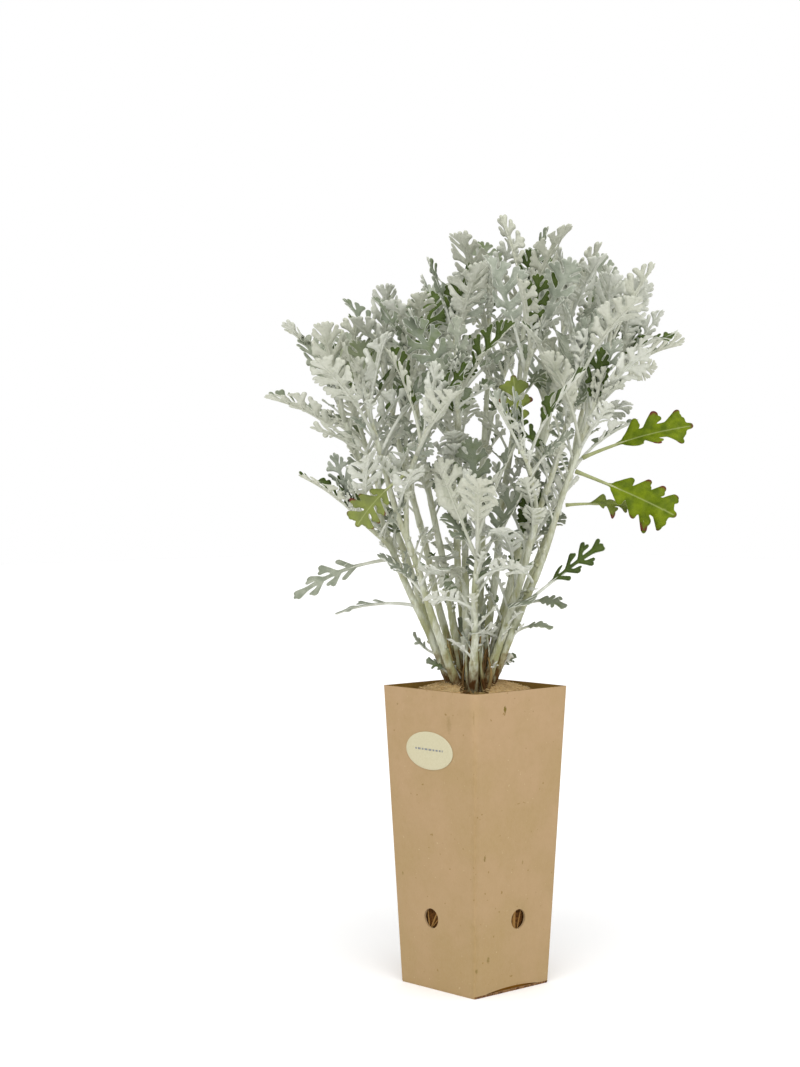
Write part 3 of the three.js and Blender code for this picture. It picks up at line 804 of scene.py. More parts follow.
def plain_blade_rods(pairs, draw):
    """The rods of a small leaf's blade: a spoon with a few round lobes."""
    rods = [((-BLADE.into_stalk, 0), (0.4 * BLADE.length, 0), 1.8, 3.6)]
    rods.append(((0.3 * BLADE.length, 0), (0.8 * BLADE.length, 0), 3.4, 6.4))
    step = 0.62 * BLADE.length / pairs
    for k in range(pairs):
        for side in (1, -1):
            start = on_rib(5 + (k + draw(-0.1, 0.1)) * step)
            reach = draw(0.8, 1.0) * (0.62 + 0.38 * k / max(1, pairs - 1))
            end = start + [draw(6, 9), side * 11 * reach]
            rods.append((start, end, 2.6, draw(2.7, 3.3)))
    fork = on_rib(0.78 * BLADE.length)
    for turn in (-38, 0, 38):
        rods.append((fork, fork + turned_flat([draw(6.5, 8), 0.0], turn + draw(-5, 5)), 4.0, 3.4))
    return rods, []


def broad_blade_rods(pairs, draw, core=1.0):
    """The rods of an old leaf's blade: broad, with blunt lobes that are cut deeper round a thinner core."""
    rods = [((-BLADE.into_stalk, 0), (0.3 * BLADE.length, 0), 1.0, 5.2 * core)]
    rods.append(((0.25 * BLADE.length, 0), (0.8 * BLADE.length, 0), 5.4 * core, 7.2 * core))
    step = 1 / (pairs + 0.75)
    veins = []
    for k in range(pairs):
        for side in (1, -1):
            start = on_rib((k + draw(0.4, 0.5)) * step * BLADE.length)
            across = draw(0.8, 0.95) * lobe_reach(k, step) * BLADE.half_width
            end = np.array([(k + draw(0.95, 1.1)) * step * BLADE.length, side * across])
            rods.append((start, end, 2.6 + 2.4 * core, 2.5))
            veins.append((start, end))
            fork = start + 0.6 * (end - start)
            tip = fork + turned_flat(end - start, side * draw(-46, -30)) * draw(0.3, 0.42)
            rods.append((fork, tip, 2.8, 2.0))
    for share, turn in ((0.72, -36), (0.72, 36), (0.78, 0)):
        fork = on_rib(share * BLADE.length)
        rods.append((fork, fork + turned_flat([9 * draw(0.9, 1.1), 0.0], turn), 4.4, 2.6))
    return rods, veins


def blade_field(points, rods):
    """The distance of points from rods that blend into each other, below zero inside them."""
    total = np.zeros(len(points))
    for start, end, first, last in rods:
        span = np.subtract(end, start)
        share = np.clip((points - start) @ span / (span @ span), 0, 1)
        distance = np.linalg.norm(points - start - share[:, None] * span, axis=1)
        total += np.exp((first + (last - first) * share - distance) / BLEND)
    return -BLEND * np.log(total + 1e-60)


def outline(points, field, columns, rows):
    """The longest closed line round where a field on a grid is below zero."""
    total = len(points)
    ids = np.arange(total).reshape(columns, rows)
    a, b, c, d = (part.ravel() for part in (ids[:-1, :-1], ids[1:, :-1], ids[1:, 1:], ids[:-1, 1:]))
    cells = np.concatenate([np.stack([a, b, c], 1), np.stack([a, c, d], 1)])
    inside = (field < 0)[cells]
    kept = inside.sum(1)

    def crossings(odd, which):
        order = (odd[which][:, None] + [0, 1, 2]) % 3
        p, q, r = np.take_along_axis(cells[which], order, 1).T
        return [total * np.minimum(p, other) + np.maximum(p, other) for other in (q, r)]

    first, second = crossings(inside.argmax(1), kept == 1)
    third, fourth = crossings(inside.argmin(1), kept == 2)
    after = dict(zip([*first.tolist(), *fourth.tolist()], [*second.tolist(), *third.tolist()]))
    longest = []
    while after:
        key, follower = after.popitem()
        line = [key]
        while follower in after:
            line.append(follower)
            follower = after.pop(follower)
        longest = max(longest, line, key=len)
    keys = np.array(longest)
    p, q = keys // total, keys % total
    share = field[p] / (field[p] - field[q])
    return points[p] + share[:, None] * (points[q] - points[p])


def inner_points(rods, grain, draw):
    """Points for the inside of a blade, and which of them lie on a rib: rows along the rods and others between."""
    ribs = []
    for start, end, _, _ in rods:
        count = int(np.linalg.norm(np.subtract(end, start)) / grain.inside * 1.25)
        ribs.append(np.linspace(start, end, max(3, count))[1:])
    xs = np.arange(-BLADE.into_stalk, BLADE.length, grain.inside)
    beside = np.array([(x, side) for x in xs for side in (FOLD_LINE, -FOLD_LINE)])
    between = np.array([(x, y) for x in xs for y in np.arange(-18, 18, grain.inside)]) + 0.2
    between = between + np.stack([draw.many(len(between), -0.4, 0.4), draw.many(len(between), -0.4, 0.4)], 1)
    found, kinds = [], []
    for group, kind, apart, depth in (
        (np.concatenate(ribs), 1, 0.55, 0.5), (beside, 0, 0.8, 0.6), (between, 0, 0.75, 1.0)
    ):
        for point in group[blade_field(group, rods) < -depth * grain.rim]:
            if all(abs(point - other).sum() > apart * grain.inside for other in found):
                found.append(point)
                kinds.append(kind)
    return np.array(found), np.array(kinds)


def blade_template(rods, veins, grain, seed):
    """A flat blade: shares along and across it, the depth from its rim, its ribs, triangles and rim edges."""
    xs = np.arange(-BLADE.into_stalk - FIELD.below, BLADE.length + FIELD.past, FIELD.grain)
    ys = np.arange(-FIELD.aside, FIELD.aside, FIELD.grain) + FIELD.shift
    grid = np.stack(np.meshgrid(xs, ys, indexing="ij"), -1).reshape(-1, 2)
    line = outline(grid, blade_field(grid, rods), len(xs), len(ys))
    rim = spread(line, grain.rim)
    inside, kinds = inner_points(rods, grain, Draws(seed))
    kinds = np.concatenate([np.zeros(len(rim)), kinds])
    flat = [Vector(point) for point in np.concatenate([rim, inside]).tolist()]
    made = delaunay_2d_cdt(flat, [], [list(range(len(rim)))], 1, 1e-4)
    places, triangles = np.array(made[0]), np.array(made[2])
    ribs = np.array([max((kinds[i] for i in origin), default=0.0) for origin in made[3]])
    p, q, r = (places[triangles[:, i]] for i in range(3))
    backward = (q - p)[:, 0] * (r - p)[:, 1] - (q - p)[:, 1] * (r - p)[:, 0] < 0
    triangles[backward] = triangles[backward][:, ::-1]
    edges = np.concatenate([triangles[:, [0, 1]], triangles[:, [1, 2]], triangles[:, [2, 0]]]).tolist()
    both = set(map(tuple, edges))
    rims = np.array([edge for edge in edges if (edge[1], edge[0]) not in both])
    depths = np.maximum(0, -blade_field(places, rods))
    depths[rims.ravel()] = 0
    return Named(
        a=places[:, 0] / BLADE.length, c=places[:, 1] / BLADE.half_width,
        depth=depths, ribs=ribs, triangles=triangles, rims=rims, veins=veins,
    )


# Each kind of blade: the rule for its rods, the first seed of that rule, and its grain.
KINDS = {
    "fine": (cut_blade_rods, 40, FINE),
    "coarse": (cut_blade_rods, 40, COARSE),
    "plain": (plain_blade_rods, 140, PLAIN),
    "slim": (slim_blade_rods, 190, COARSE),
    "broad": (broad_blade_rods, 90, FINE),
    "lobed": (partial(broad_blade_rods, core=LOBED_CORE), 90, FINE),
}


def make_templates(pairs, kind):
    rule, seed, grain = KINDS[kind]
    return [blade_template(*rule(pairs, Draws(seed + 10 * pairs + v)), grain, 7 + v) for v in range(VARIANTS)]


TEMPLATES = {(pairs, kind): make_templates(pairs, kind) for pairs in (2, 3, 4) for kind in KINDS}


# ---------------------------------------------------------------- leaves

SOFT_FOLD = 1.6
STALK_RADIUS = Named(root=1.35, blade=1.0, tip=0.35)
THICKNESS = Named(rim=0.16, middle=0.34, over=1.2)
RIB_DEPTH = 0.6
PROBE = 0.2  # how far beside a point its neighbours are taken, for the direction of its face


def relief(leaf, along, across):
    """How far the upper face lies above the plain folded sheet: a soft fold, curled lobes and ripples."""
    soft = np.sqrt(across**2 + SOFT_FOLD**2) - SOFT_FOLD
    lift = (soft - np.abs(across)) * sin(radians(leaf.fold))
    reach = np.abs(across) / leaf.half_width
    share = along / leaf.length
    for middle, side, curl in leaf.curls:
        near = np.exp(-(((share - middle) / 0.13) ** 2)) * (across * side > 0)
        lift = lift + curl * near * reach**2 * leaf.half_width
    return lift + leaf.ripple * np.sin(share * 17 + leaf.phase) * reach


def face(leaf, along, across):
    return leaf_points(leaf, along, across, relief(leaf, along, across))


def lively(leaf, draw):
    """Gives a leaf its own curls, ripples, greenness and tone."""
    leaf.curls = []
    for k in range(leaf.pairs + 1):
        middle = leaf.stalk + (1 - leaf.stalk) * (k + 0.9) / (leaf.pairs + 0.9)
        leaf.curls += [(middle, side, leaf.liveliness * draw(-0.6, 0.34)) for side in (1, -1)]
    leaf.ripple, leaf.phase = draw(0.3, 0.9), draw(0, 6)
    leaf.twist = draw(-10, 10) + leaf.given_twist
    chance = draw(0, 1)
    green = 0.4 * chance if chance < 0.42 else 0.5 if chance < 0.64 else 1.0
    leaf.green = green if leaf.given_green is None else leaf.given_green
    leaf.tone = draw(0, 1) + leaf.yellow
    leaf.variant = int(draw(0, VARIANTS - 0.01))
    return leaf


def add_blade(shape, leaf, template):
    """A blade with two faces and a rim; its ribs are pressed in from above."""
    stalk = leaf.length * leaf.stalk
    along = stalk + template.a * (leaf.length - stalk)
    across = template.c * leaf.half_width * leaf.fullness
    middle = face(leaf, along, across)
    ahead = face(leaf, along + PROBE, across) - middle
    aside = face(leaf, along, across + PROBE) - middle
    normals = unit(np.cross(ahead, aside))
    half = THICKNESS.rim + (THICKNESS.middle - THICKNESS.rim) * np.clip(template.depth / THICKNESS.over, 0, 1)
    middle = middle - normals * (RIB_DEPTH * leaf.half_width / BLADE.half_width * template.ribs)[:, None]
    points = np.concatenate([middle + normals * half[:, None], middle - normals * half[:, None]])
    count = len(middle)
    p, q = template.rims.T
    rims = np.concatenate([np.stack([q, p, p + count], 1), np.stack([q, p + count, q + count], 1)])
    triangles = np.concatenate([template.triangles, template.triangles[:, ::-1] + count, rims])
    ribs = np.tile(template.ribs, 2)
    far = np.maximum(np.abs(template.c) * 1.9 - 0.8, template.a * 5 - 4.1)
    shape.add(
        points, triangles, upper=np.repeat([1, 0], count), inner=np.tile(np.clip(template.depth / 2.6, 0, 1), 2),
        green=leaf.green, tone=leaf.tone, rib=ribs, far=np.tile(np.clip(far, 0, 1), 2),
        mid=ribs * (np.abs(np.tile(template.c, 2)) < 0.03),
    )


def add_rib(shape, leaf, along, across, radii, sides):
    """A round rib that follows a leaf's underside."""
    sunk = RIB_DEPTH * leaf.half_width / BLADE.half_width * np.clip((along - leaf.length * leaf.stalk) / 4, 0, 1)
    lift = relief(leaf, along, across) - 0.6 * np.minimum(radii, 0.8) - sunk
    shape.tube(leaf_points(leaf, along, across, lift), radii, sides, tone=leaf.tone)


def add_leaf(shape, leaf, kind):
    """A leaf with its blade, its stalk and midrib, and its veins where it is large enough to show them."""
    template = TEMPLATES[leaf.pairs, kind][leaf.variant]
    add_blade(shape, leaf, template)
    stalk = leaf.length * leaf.stalk
    end = 0.93 * leaf.length
    size = leaf.half_width * LEAF_FULLNESS / BLADE.half_width
    along = np.concatenate([np.linspace(0, stalk, 6)[:-1], np.linspace(stalk, end, 9)])
    levels = [1.25 * STALK_RADIUS.root, STALK_RADIUS.root, STALK_RADIUS.blade, STALK_RADIUS.tip]
    radii = np.interp(along, [0, 0.12 * stalk, stalk, end], levels)
    add_rib(shape, leaf, along, np.zeros(len(along)), radii * (0.45 + 0.55 * min(1, size)), 7)
    if kind in ("fine", "broad", "lobed"):
        for start, end in template.veins:
            share = np.linspace(0, 1, 6)
            x, y = np.outer(1 - share, start).T + np.outer(share, end).T
            along = stalk + x / BLADE.length * (leaf.length - stalk)
            across = y / BLADE.half_width * leaf.half_width * leaf.fullness
            add_rib(shape, leaf, along, across, np.linspace(0.62, 0.22, 6) * size, 5)


def young_leaf(shoot, k, draw):
    """One of the small, still upright leaves in the heart of a shoot."""
    length = (42, 33, 26, 19, 13)[k] * draw(0.85, 1.1)
    return leaf_at(
        shoot.curve.point(1 - 2 * (4 - k) / shoot.curve.length), unit(shoot.curve.tangent(0.99) + UP),
        shoot.turn + 60 - k * GOLDEN_ANGLE, length=length, rise=draw(78, 86), bend=draw(-6, 12),
        roll=draw(-10, 10), fold=draw(30, 44), stalk=draw(0.2, 0.3), half_width=length * draw(0.16, 0.2), pairs=2,
    )


def side_leaf(shoot, share, length, draw):
    """A small leaf on a thin stalk from the side of a shoot."""
    return leaf_at(
        shoot.curve.point(share), unit(shoot.curve.tangent(share) + UP), draw(0, 360),
        length=length, rise=draw(46, 74), bend=draw(-34, -6), roll=draw(-20, 20), fold=draw(16, 36),
        stalk=draw(0.36, 0.5), half_width=length * draw(0.17, 0.22), pairs=2 if length < 36 else 3,
    )


# Small leaves between the stems, as the photo shows them: stem, share of the stem below it, heading, rise, bend,
# roll, length, half width and green.
MIDDLE_LEAVES = [
    (13, 0.60, -150, 34, -44, 24, 42, 9, 0.4),
    (13, 0.74, -40, 40, -50, -20, 44, 9.5, 0.5),
    (14, 0.62, -70, 36, -50, 10, 40, 9, 0.4),
    (14, 0.46, -120, 32, -40, 20, 36, 8, 0.6),
    (6, 0.36, -110, 44, -50, 10, 42, 9, 0.5),
    (6, 0.46, -60, 44, -48, -14, 44, 9.5, 0.4),
    (8, 0.42, -80, 40, -50, 12, 44, 9.5, 0.5),
    (8, 0.52, -50, 44, -48, 26, 44, 9.5, 0.4),
    (12, 0.46, -110, 36, -46, 20, 40, 9, 0.4),
    (3, 0.46, -70, 40, -46, -16, 40, 9, 0.5),
    (4, 0.42, -90, 40, -46, 10, 42, 9, 0.6),
    (9, 0.40, 80, 40, -46, 10, 42, 9, 0.7),
    (5, 0.42, 110, 40, -46, 10, 42, 9, 0.4),
    (2, 0.46, 150, 34, -44, 20, 40, 9, 0.5),
]


def middle_leaf(stem, row):
    share, heading, rise, bend, roll, length, half_width, green = row[1:]
    return leaf_at(
        stem.shoots[0].curve.point(share), UP, heading, length=length, rise=rise, bend=bend, roll=roll, fold=16,
        stalk=0.36, half_width=half_width, pairs=3, given_green=green, liveliness=0.5,
    )


# The share of a main shoot and of a fork where side leaves start, and how many there are.
SIDE_LEAVES = {True: (0.5, 8), False: (0.3, 5)}


def add_small_leaves(shape, stem, index):
    draw = Draws(52000 + 700 * index)
    for row in MIDDLE_LEAVES:
        if row[0] == index:
            add_leaf(shape, lively(middle_leaf(stem, row), draw), "fine")
    for shoot in stem.shoots:
        for order in range(5):
            add_leaf(shape, lively(young_leaf(shoot, order, draw), draw), "coarse" if order < 3 else "plain")
        low, count = SIDE_LEAVES[shoot is stem.shoots[0]]
        for _ in range(count):
            leaf = lively(side_leaf(shoot, draw(low, 0.97), draw(18, 42), draw), draw)
            leaf.green = min(leaf.green, 0.55)
            add_leaf(shape, leaf, "coarse" if leaf.length > 32 else "plain")
    for _ in range(2):
        leaf = side_leaf(stem.shoots[0], draw(stem.start + 0.04, 0.5), draw(12, 24), draw)
        add_leaf(shape, lively(leaf, draw), "plain")


# ---------------------------------------------------------------- stems

WOBBLE = 1.2
FRONT_STEM = 13
KNOTS_BELOW = 0.8


def ridged(depth, count, phase):
    return lambda ring, angles: 1 + depth * np.cos(count * angles + phase + 0.25 * ring)


def bared_tone(index):
    """How low a stem's felt reaches, in shares of the felt's range; the one in front keeps it longest."""
    return 1.0 if index == FRONT_STEM else Draws(97 + 13 * index)(0, 0.9)


def add_shoot(shape, curve, start, first, last, tone, draw):
    """A slightly wavy, ridged shoot, with knots where leaves have fallen."""
    rings = max(8, int(curve.length * (1 - start) / 2.4))
    shares = np.linspace(start, 1, rings)
    radii = np.linspace(first, last, rings) * (1 + 0.06 * draw.many(rings, -1, 1))
    path = curve.point(shares)
    swing = np.sin(pi * (shares - start) / (1 - start)) * (1 if start > 0 else 0.5)
    for i in (0, 1):
        phase, turns = draw(0, 6), draw(9, 15)
        path[:, i] += WOBBLE * swing * np.sin(phase + turns * shares)
    shape.tube(path, radii, 12, ridged(0.07, 3, draw(0, 6)), tone=tone)
    for _ in range(int(curve.length * (KNOTS_BELOW - start) / 9)):
        share, angle = draw(start, KNOTS_BELOW), draw(0, TURN)
        tangent = curve.tangent(share)
        side = unit(np.cross(tangent, [cos(angle), sin(angle), 0.2]))
        radius = np.interp(share, shares, radii)
        base = curve.point(share) + side * radius * 0.6
        out = unit(side + tangent * draw(0.4, 1.2))
        reach = radius * 0.4 + draw(0.5, 1.3)
        shape.tube([base, base + out * reach * 0.6, base + out * reach], [1.3, 1.0, 0.45], 7, tone=tone)


# Leaves with looks of their own, by stem and leaf. Those seen edge-on in the photo: twist, fullness, liveliness.
OWN_LOOKS = {(8, 3): (64, 1.1, 0.6), (12, 6): (26, 1.0, 0.4), (10, 8): (-26, 1.0, 0.4), (10, 2): (84, 0.7, 0.3)}
# Those that are grey-green, and how green.
GREY_GREEN = {(13, 5): 0.5, (13, 4): 0.4, (13, 7): 0.4, (14, 1): 0.5}
# Those that are yellowish, and how much.
YELLOW = {(0, 7): 0.5, (0, 3): 0.6, (3, 1): 0.5, (2, 6): 0.5, (3, 5): 0.3, (1, 2): 0.4}


def make_stem(index):
    stem = stems[index]
    draw = Draws(31000 + 900 * index)
    leafy, stalks = Shape(), Shape()
    for number, leaf in enumerate(stem.leaves):
        which = (index, number)
        if which in OWN_LOOKS:
            leaf.given_twist, leaf.fullness, leaf.liveliness = OWN_LOOKS[which]
        leaf.yellow = YELLOW.get(which, 0)
        leaf.given_green = GREY_GREEN.get(which, leaf.given_green)
        add_leaf(leafy, lively(leaf, draw), leaf.kind)
    add_small_leaves(leafy, stem, index)
    start, radius = stem.start - 0.01, STEM.foot
    for shoot in stem.shoots:
        add_shoot(stalks, shoot.curve, start, radius, STEM.tip, bared_tone(index), draw)
        start, radius = 0, FORK.radius
    leafy.build(f"leaves_{index + 1:02d}", FELTED, "felted_foliage", [stem.name], FAN_TURN)
    stalks.build(f"stalk_{index + 1:02d}", FELTED_STEM, "felted_foliage", [stem.name], FAN_TURN)


def make_green_leaf(k):
    leaf = lively(find_green_leaf(k), Draws(61000 + 50 * k))
    kind, leaf.tone = GREEN_LEAVES[k][9:]
    shape = Shape()
    add_leaf(shape, leaf, kind)
    shape.build(f"green_blade_{k + 1}", GREEN_LEAF, "green_foliage", [f"green_leaf_{k + 1}"], FAN_TURN)


# ---------------------------------------------------------------- crown, mat and soil

# Small leaves and stalks at the plant's foot: root, heading, rise, bend, roll, length, stalk, half width, green.
FOOT_LEAVES = [
    ((-13, -9, 211), 186, 44, -20, -60, 25, 0.46, 4.6, 0.55),
    ((-7, -13, 211), -100, 80, 6, 10, 31, 0.60, 4.4, 0.1),
    ((5, -14, 204), -84, 86, 6, -14, 42, 0.76, 3.8, 0.0),
    ((12, -9, 213), -12, 56, -14, -54, 21, 0.48, 4.2, 0.1),
    ((-10, -11, 212), 200, 66, -30, 50, 17, 0.4, 3.4, 0.3),
    ((9, -13, 210), -60, 64, -22, 30, 18, 0.5, 3.4, 0.2),
    ((3, 13, 211), 80, 60, -20, 20, 24, 0.5, 4.0, 0.3),
    ((13, 6, 212), 20, 52, -20, 40, 22, 0.46, 4.2, 0.5),
    ((-13, 5, 212), 160, 58, -24, -30, 22, 0.5, 4.0, 0.2),
]
MORE_FOOT_LEAVES = 22
DRY_STALKS = 46
FRONT_STALKS = 26
BARK_BITS = 90
BARK_RINGS = 24
# The crown's profile: radius, and level above its bottom.
CROWN = [(0.5, 0), (8, 0.2), (11.5, 1.5), (12.6, 6), (12.6, 12), (12, 20), (10.5, 28), (7.5, 36), (2, 44)]
SOIL = Named(bottom=3.6, edge=195, crest=202.5, gap=1.2, dip=9)
MAT = Named(outer=38.5, inner=11.5, thick=3.6, crest=210.4, edge=201.8, rounds=20, around=120, fibres=2200)
NOTCH = Named(heading=-45, reach=28, wide=30, least=0.8)


def foot_leaf(draw):
    """A small leaf on a thin, upright stalk between the feet of the stems."""
    heading, reach, length = draw(0, 360), draw(3, 11), draw(30, 66)
    out = radians(heading)
    return leaf_at(
        np.array([reach * sin(out), -reach * cos(out), 209.0]), UP, heading - 90, length=length,
        rise=draw(68, 88), bend=draw(-20, 8), roll=draw(-40, 40), fold=14, stalk=1 - draw(12, 18) / length,
        half_width=draw(3.0, 4.4), pairs=2, given_green=draw(0.0, 0.5),
    )


def make_foot_leaves():
    draw = Draws(73000)
    shape = Shape()
    for root, heading, rise, bend, roll, length, stalk, half_width, green in FOOT_LEAVES:
        leaf = leaf_at(
            np.array(root, float), UP, heading, length=length, rise=rise, bend=bend, roll=roll, fold=12,
            stalk=stalk, half_width=half_width, pairs=2, given_green=green,
        )
        add_leaf(shape, lively(leaf, draw), "plain")
    for _ in range(MORE_FOOT_LEAVES):
        add_leaf(shape, lively(foot_leaf(draw), draw), "plain")
    shape.build("foot_leaves", FELTED, "felted_foliage", (), FAN_TURN)


def add_bark_tubes(shape, draw):
    """The lowest, barked part of each stem, up to where its felted part goes on."""
    for index, stem in enumerate(stems):
        curve = stem.shoots[0].curve
        shares = np.linspace(curve.share_at_level(CROWN_BOTTOM + 2), stem.start + 0.016, BARK_RINGS)
        radii = np.linspace(3.7, STEM.foot + 0.12, BARK_RINGS) * (1 + 0.06 * draw.many(BARK_RINGS, -1, 1))
        radii[-1] = STEM.foot - 0.5
        shape.tube(curve.point(shares), radii, 12, ridged(0.08, 3, draw(0, 6)), upper=1.0, tone=bared_tone(index))


def bowed(start, end, bow):
    """A path of ten points from a start to an end, bowed out in its middle."""
    t = np.linspace(0, 1, 10)[:, None]
    return start + (end - start) * t + bow * np.sin(pi * t)


def add_dry_stalks(shape, draw):
    for _ in range(DRY_STALKS):
        angle = draw(0, TURN)
        out = np.array([cos(angle), sin(angle), 0])
        start = out * draw(4, 14) + [0, 0, draw(200, 207)]
        end = start + out * draw(0, 12) + [0, 0, draw(10, 44)]
        bow = np.array([draw(-5, 5), draw(-5, 5), draw(-2, 4)])
        shape.tube(bowed(start, end, bow), np.linspace(0.75, 0.3, 10), 6, rib=draw(0.0, 1))


def add_front_stalks(shape, draw):
    """Dead and living stalks that stand in the mat's torn opening, in front of the stems."""
    for k in range(FRONT_STALKS):
        aside, ahead = draw(-9, 9), draw(11, 19)
        foot = np.array([aside, -ahead, 200.5])
        top = np.array([aside * draw(0.3, 1.6), -ahead + draw(-6, 8), 200.5 + draw(9, 46)])
        path = bowed(foot, top, draw.many(3, -3, 3) * [1, 1, 0.3])
        thick = draw(0.9, 1.5)
        looks = dict(upper=1.0) if k % 3 == 0 else dict(rib=draw(0, 0.8))
        shape.tube(path, np.linspace(thick, 0.4 * thick, 10), 7, tone=0.8, **looks)


def add_bark_bits(shape, draw):
    """Bits of bark and dead leaf on the soil where the mat is torn open."""
    for _ in range(BARK_BITS):
        angle = radians(NOTCH.heading - FAN_TURN + draw(-34, 34))
        reach = draw(8, 30)
        place = np.array([reach * cos(angle), reach * sin(angle), draw(200.8, 203.2)])
        direction = unit(draw.many(3, -1, 1) * [1, 1, 0.5])
        size = draw(2.5, 6)
        path = [place - direction * size, place, place + direction * size]
        shape.tube(path, [0.5, 1.1, 0.4], 6, rib=draw(0, 0.7) ** 2)


def make_crown():
    draw = Draws(71000)
    shape = Shape()
    add_bark_tubes(shape, draw)
    path = [(0, 0, CROWN_BOTTOM + up) for _, up in CROWN]
    knobs = lambda ring, a: 1 + 0.08 * np.cos(5 * a + ring) + 0.07 * np.cos(9 * a)
    shape.tube(path, [radius for radius, _ in CROWN], 28, knobs)
    for add in (add_dry_stalks, add_front_stalks, add_bark_bits):
        add(shape, draw)
    shape.build("woody_crown", BARK_SKIN, "bark", ["root_crown"], FAN_TURN)


def dome(radius):
    """The level of the mat's upper face."""
    return MAT.crest - (MAT.crest - MAT.edge) * (radius / MAT.outer) ** 1.5


def opening_at(angles):
    """The radius of the mat's opening at some angles; towards the front fold it is torn open."""
    aside = (np.degrees(angles) - NOTCH.heading + 180) % 360 - 180
    return np.minimum(MAT.outer - NOTCH.least, MAT.inner + NOTCH.reach * np.exp(-((aside / NOTCH.wide) ** 2)))


def bumpy(x, y, seed, size):
    """Smooth ups and downs of about one, with features of a size in millimetres."""
    draw = Draws(seed)
    total = 0
    for _ in range(9):
        angle, phase = draw(0, TURN), draw(0, TURN)
        pitch = TURN / size / draw(0.6, 1.7)
        total = total + np.sin((x * cos(angle) + y * sin(angle)) * pitch + phase)
    return total / 3


def add_mat_body(shape, draw):
    angles = around(MAT.around)
    outer = MAT.outer + 1.1 * np.sin(3 * angles + 1) + 0.8 * np.sin(7 * angles) + 0.5 * draw.many(MAT.around, -1, 1)
    opening = opening_at(angles) + 1.2 * np.sin(5 * angles) + 0.8 * draw.many(MAT.around, -1, 1)
    opening = np.minimum(opening, outer - NOTCH.least)
    upper, lower = [], []
    shares = np.arange(MAT.rounds + 1) / MAT.rounds
    for share in shares:
        radius = opening + (outer - opening) * share
        x, y = radius * np.cos(angles), radius * np.sin(angles)
        edge = min(1, 8 * share, 8 * (1 - share))
        rise = 0.5 * bumpy(x, y, 5, 7) + 0.4 * bumpy(x, y, 6, 2.6)
        upper.append(np.stack([x, y, dome(radius) + edge * rise - (1 - edge) * 1.1], 1))
        lower.append(np.stack([x, y, dome(radius) - MAT.thick * edge - (1 - edge) * 2.1], 1))
    rings = [*upper, *lower[::-1]]
    # Painted shade: the mat darkens towards its opening round the plant's foot.
    painted_crown_shade = np.clip(1 - np.concatenate([shares, shares[::-1]]).repeat(MAT.around) / 0.3, 0, 1)
    shape.add(np.concatenate(rings), bands(len(rings), MAT.around, True), tone=0.8 * painted_crown_shade)


def add_mat_fibres(shape, draw):
    for _ in range(MAT.fibres):
        angle, share = draw(0, TURN), sqrt(draw(0, 1))
        inner = float(opening_at(angle)) + 3
        radius = inner + (MAT.outer - 1 - inner) * share
        heading, length = draw(0, TURN), draw(5, 15)
        if inner > MAT.outer - 8:
            continue
        t = np.linspace(-0.5, 0.5, 6)
        bow = draw(-0.35, 0.35)
        x = radius * cos(angle) + length * (t * cos(heading) - bow * (t**2) * 4 * sin(heading))
        y = radius * sin(angle) + length * (t * sin(heading) + bow * (t**2) * 4 * cos(heading))
        reach = np.maximum(np.hypot(x, y), 0.5)
        pull = np.minimum(1, (MAT.outer + 0.8) / reach)
        lift = draw(-0.1, 1.1) + draw(-0.6, 1.5) * (t * 2) ** 2
        path = np.stack([x * pull, y * pull, dome(np.minimum(reach, MAT.outer)) + 0.25 + lift], 1)
        radii = np.full(6, draw(0.1, 0.2))
        # Some fibres are darker at random; near the opening they darken as painted shade.
        shape.tube(path, radii, 3, tone=max(draw(0, 1) ** 4, draw(0.3, 1) * (1 - share / 0.4)))


def make_mat():
    draw = Draws(81000)
    shape = Shape()
    add_mat_body(shape, draw)
    add_mat_fibres(shape, draw)
    shape.build("fibre_mat", COIR, "coir", ["coir_mat"])


DRAIN = Named(radius=6.8, up=49.2, aside=3.3, sides=56)
ARCH = Named(rise=3.6, half_span=35, points=40)
# Each wall's hole: which way it lies aside, and the roots behind it, with their leans, their radii and how far
# they lie from its middle.
HOLES = [
    (-1, (34, 64, -8), (0.7, 0.4, 0.5), (1.4, 3.6, -5.2)),
    (1, (2, -6, 16), (1.7, 0.8, 0.5), (-0.4, -4.0, 3.8)),
    (1, (-20, 12, 30), (0.8, 0.5, 0.9), (-2, 2, 4)),
    (-1, (14, -8, 26), (0.7, 1.1, 0.5), (-3, 1, 4)),
]
CRUMBS = 60
ROOT = Named(reach=11, points=12, sides=9)


def half_width_at(up):
    return (POT.base + (POT.top - POT.base) * np.asarray(up) / POT.height) / 2


def soil_rings(side=56):
    """Square rings up the soil's sides and then in over its top, with a number of points on each side."""
    inset = POT.board + SOIL.gap
    share, one = np.linspace(-1, 1, side, endpoint=False), np.ones(side)
    quarters = ((one, share), (-share, one), (-one, -share), (share, -one))
    square = np.concatenate([np.stack(quarter, 1) for quarter in quarters])
    rings = []
    for level in [SOIL.bottom, *np.linspace(8, 190, 24)]:
        half = half_width_at(level) - inset
        wobble = 0.5 * bumpy(square[:, 0] * 40 + level, square[:, 1] * 40 + level * 0.7, 7, 9)
        rings.append(np.column_stack([square * (half + wobble)[:, None], np.full(4 * side, level)]))
    for part in np.linspace(1, 0.02, 26):
        flat = square * (half_width_at(SOIL.edge) - inset) * part
        radius = np.hypot(*flat.T)
        top = np.clip(dome(radius) - MAT.thick - 0.8, SOIL.edge, SOIL.crest)
        dip = np.where(radius < SOIL.dip, (SOIL.dip - radius) * 0.6, 0)
        rough = 0.6 * bumpy(flat[:, 0], flat[:, 1], 8, 4) * (radius > 12)
        rings.append(np.column_stack([flat, top - dip - 0.4 + rough * (1 if part < 0.99 else 0)]))
    return rings


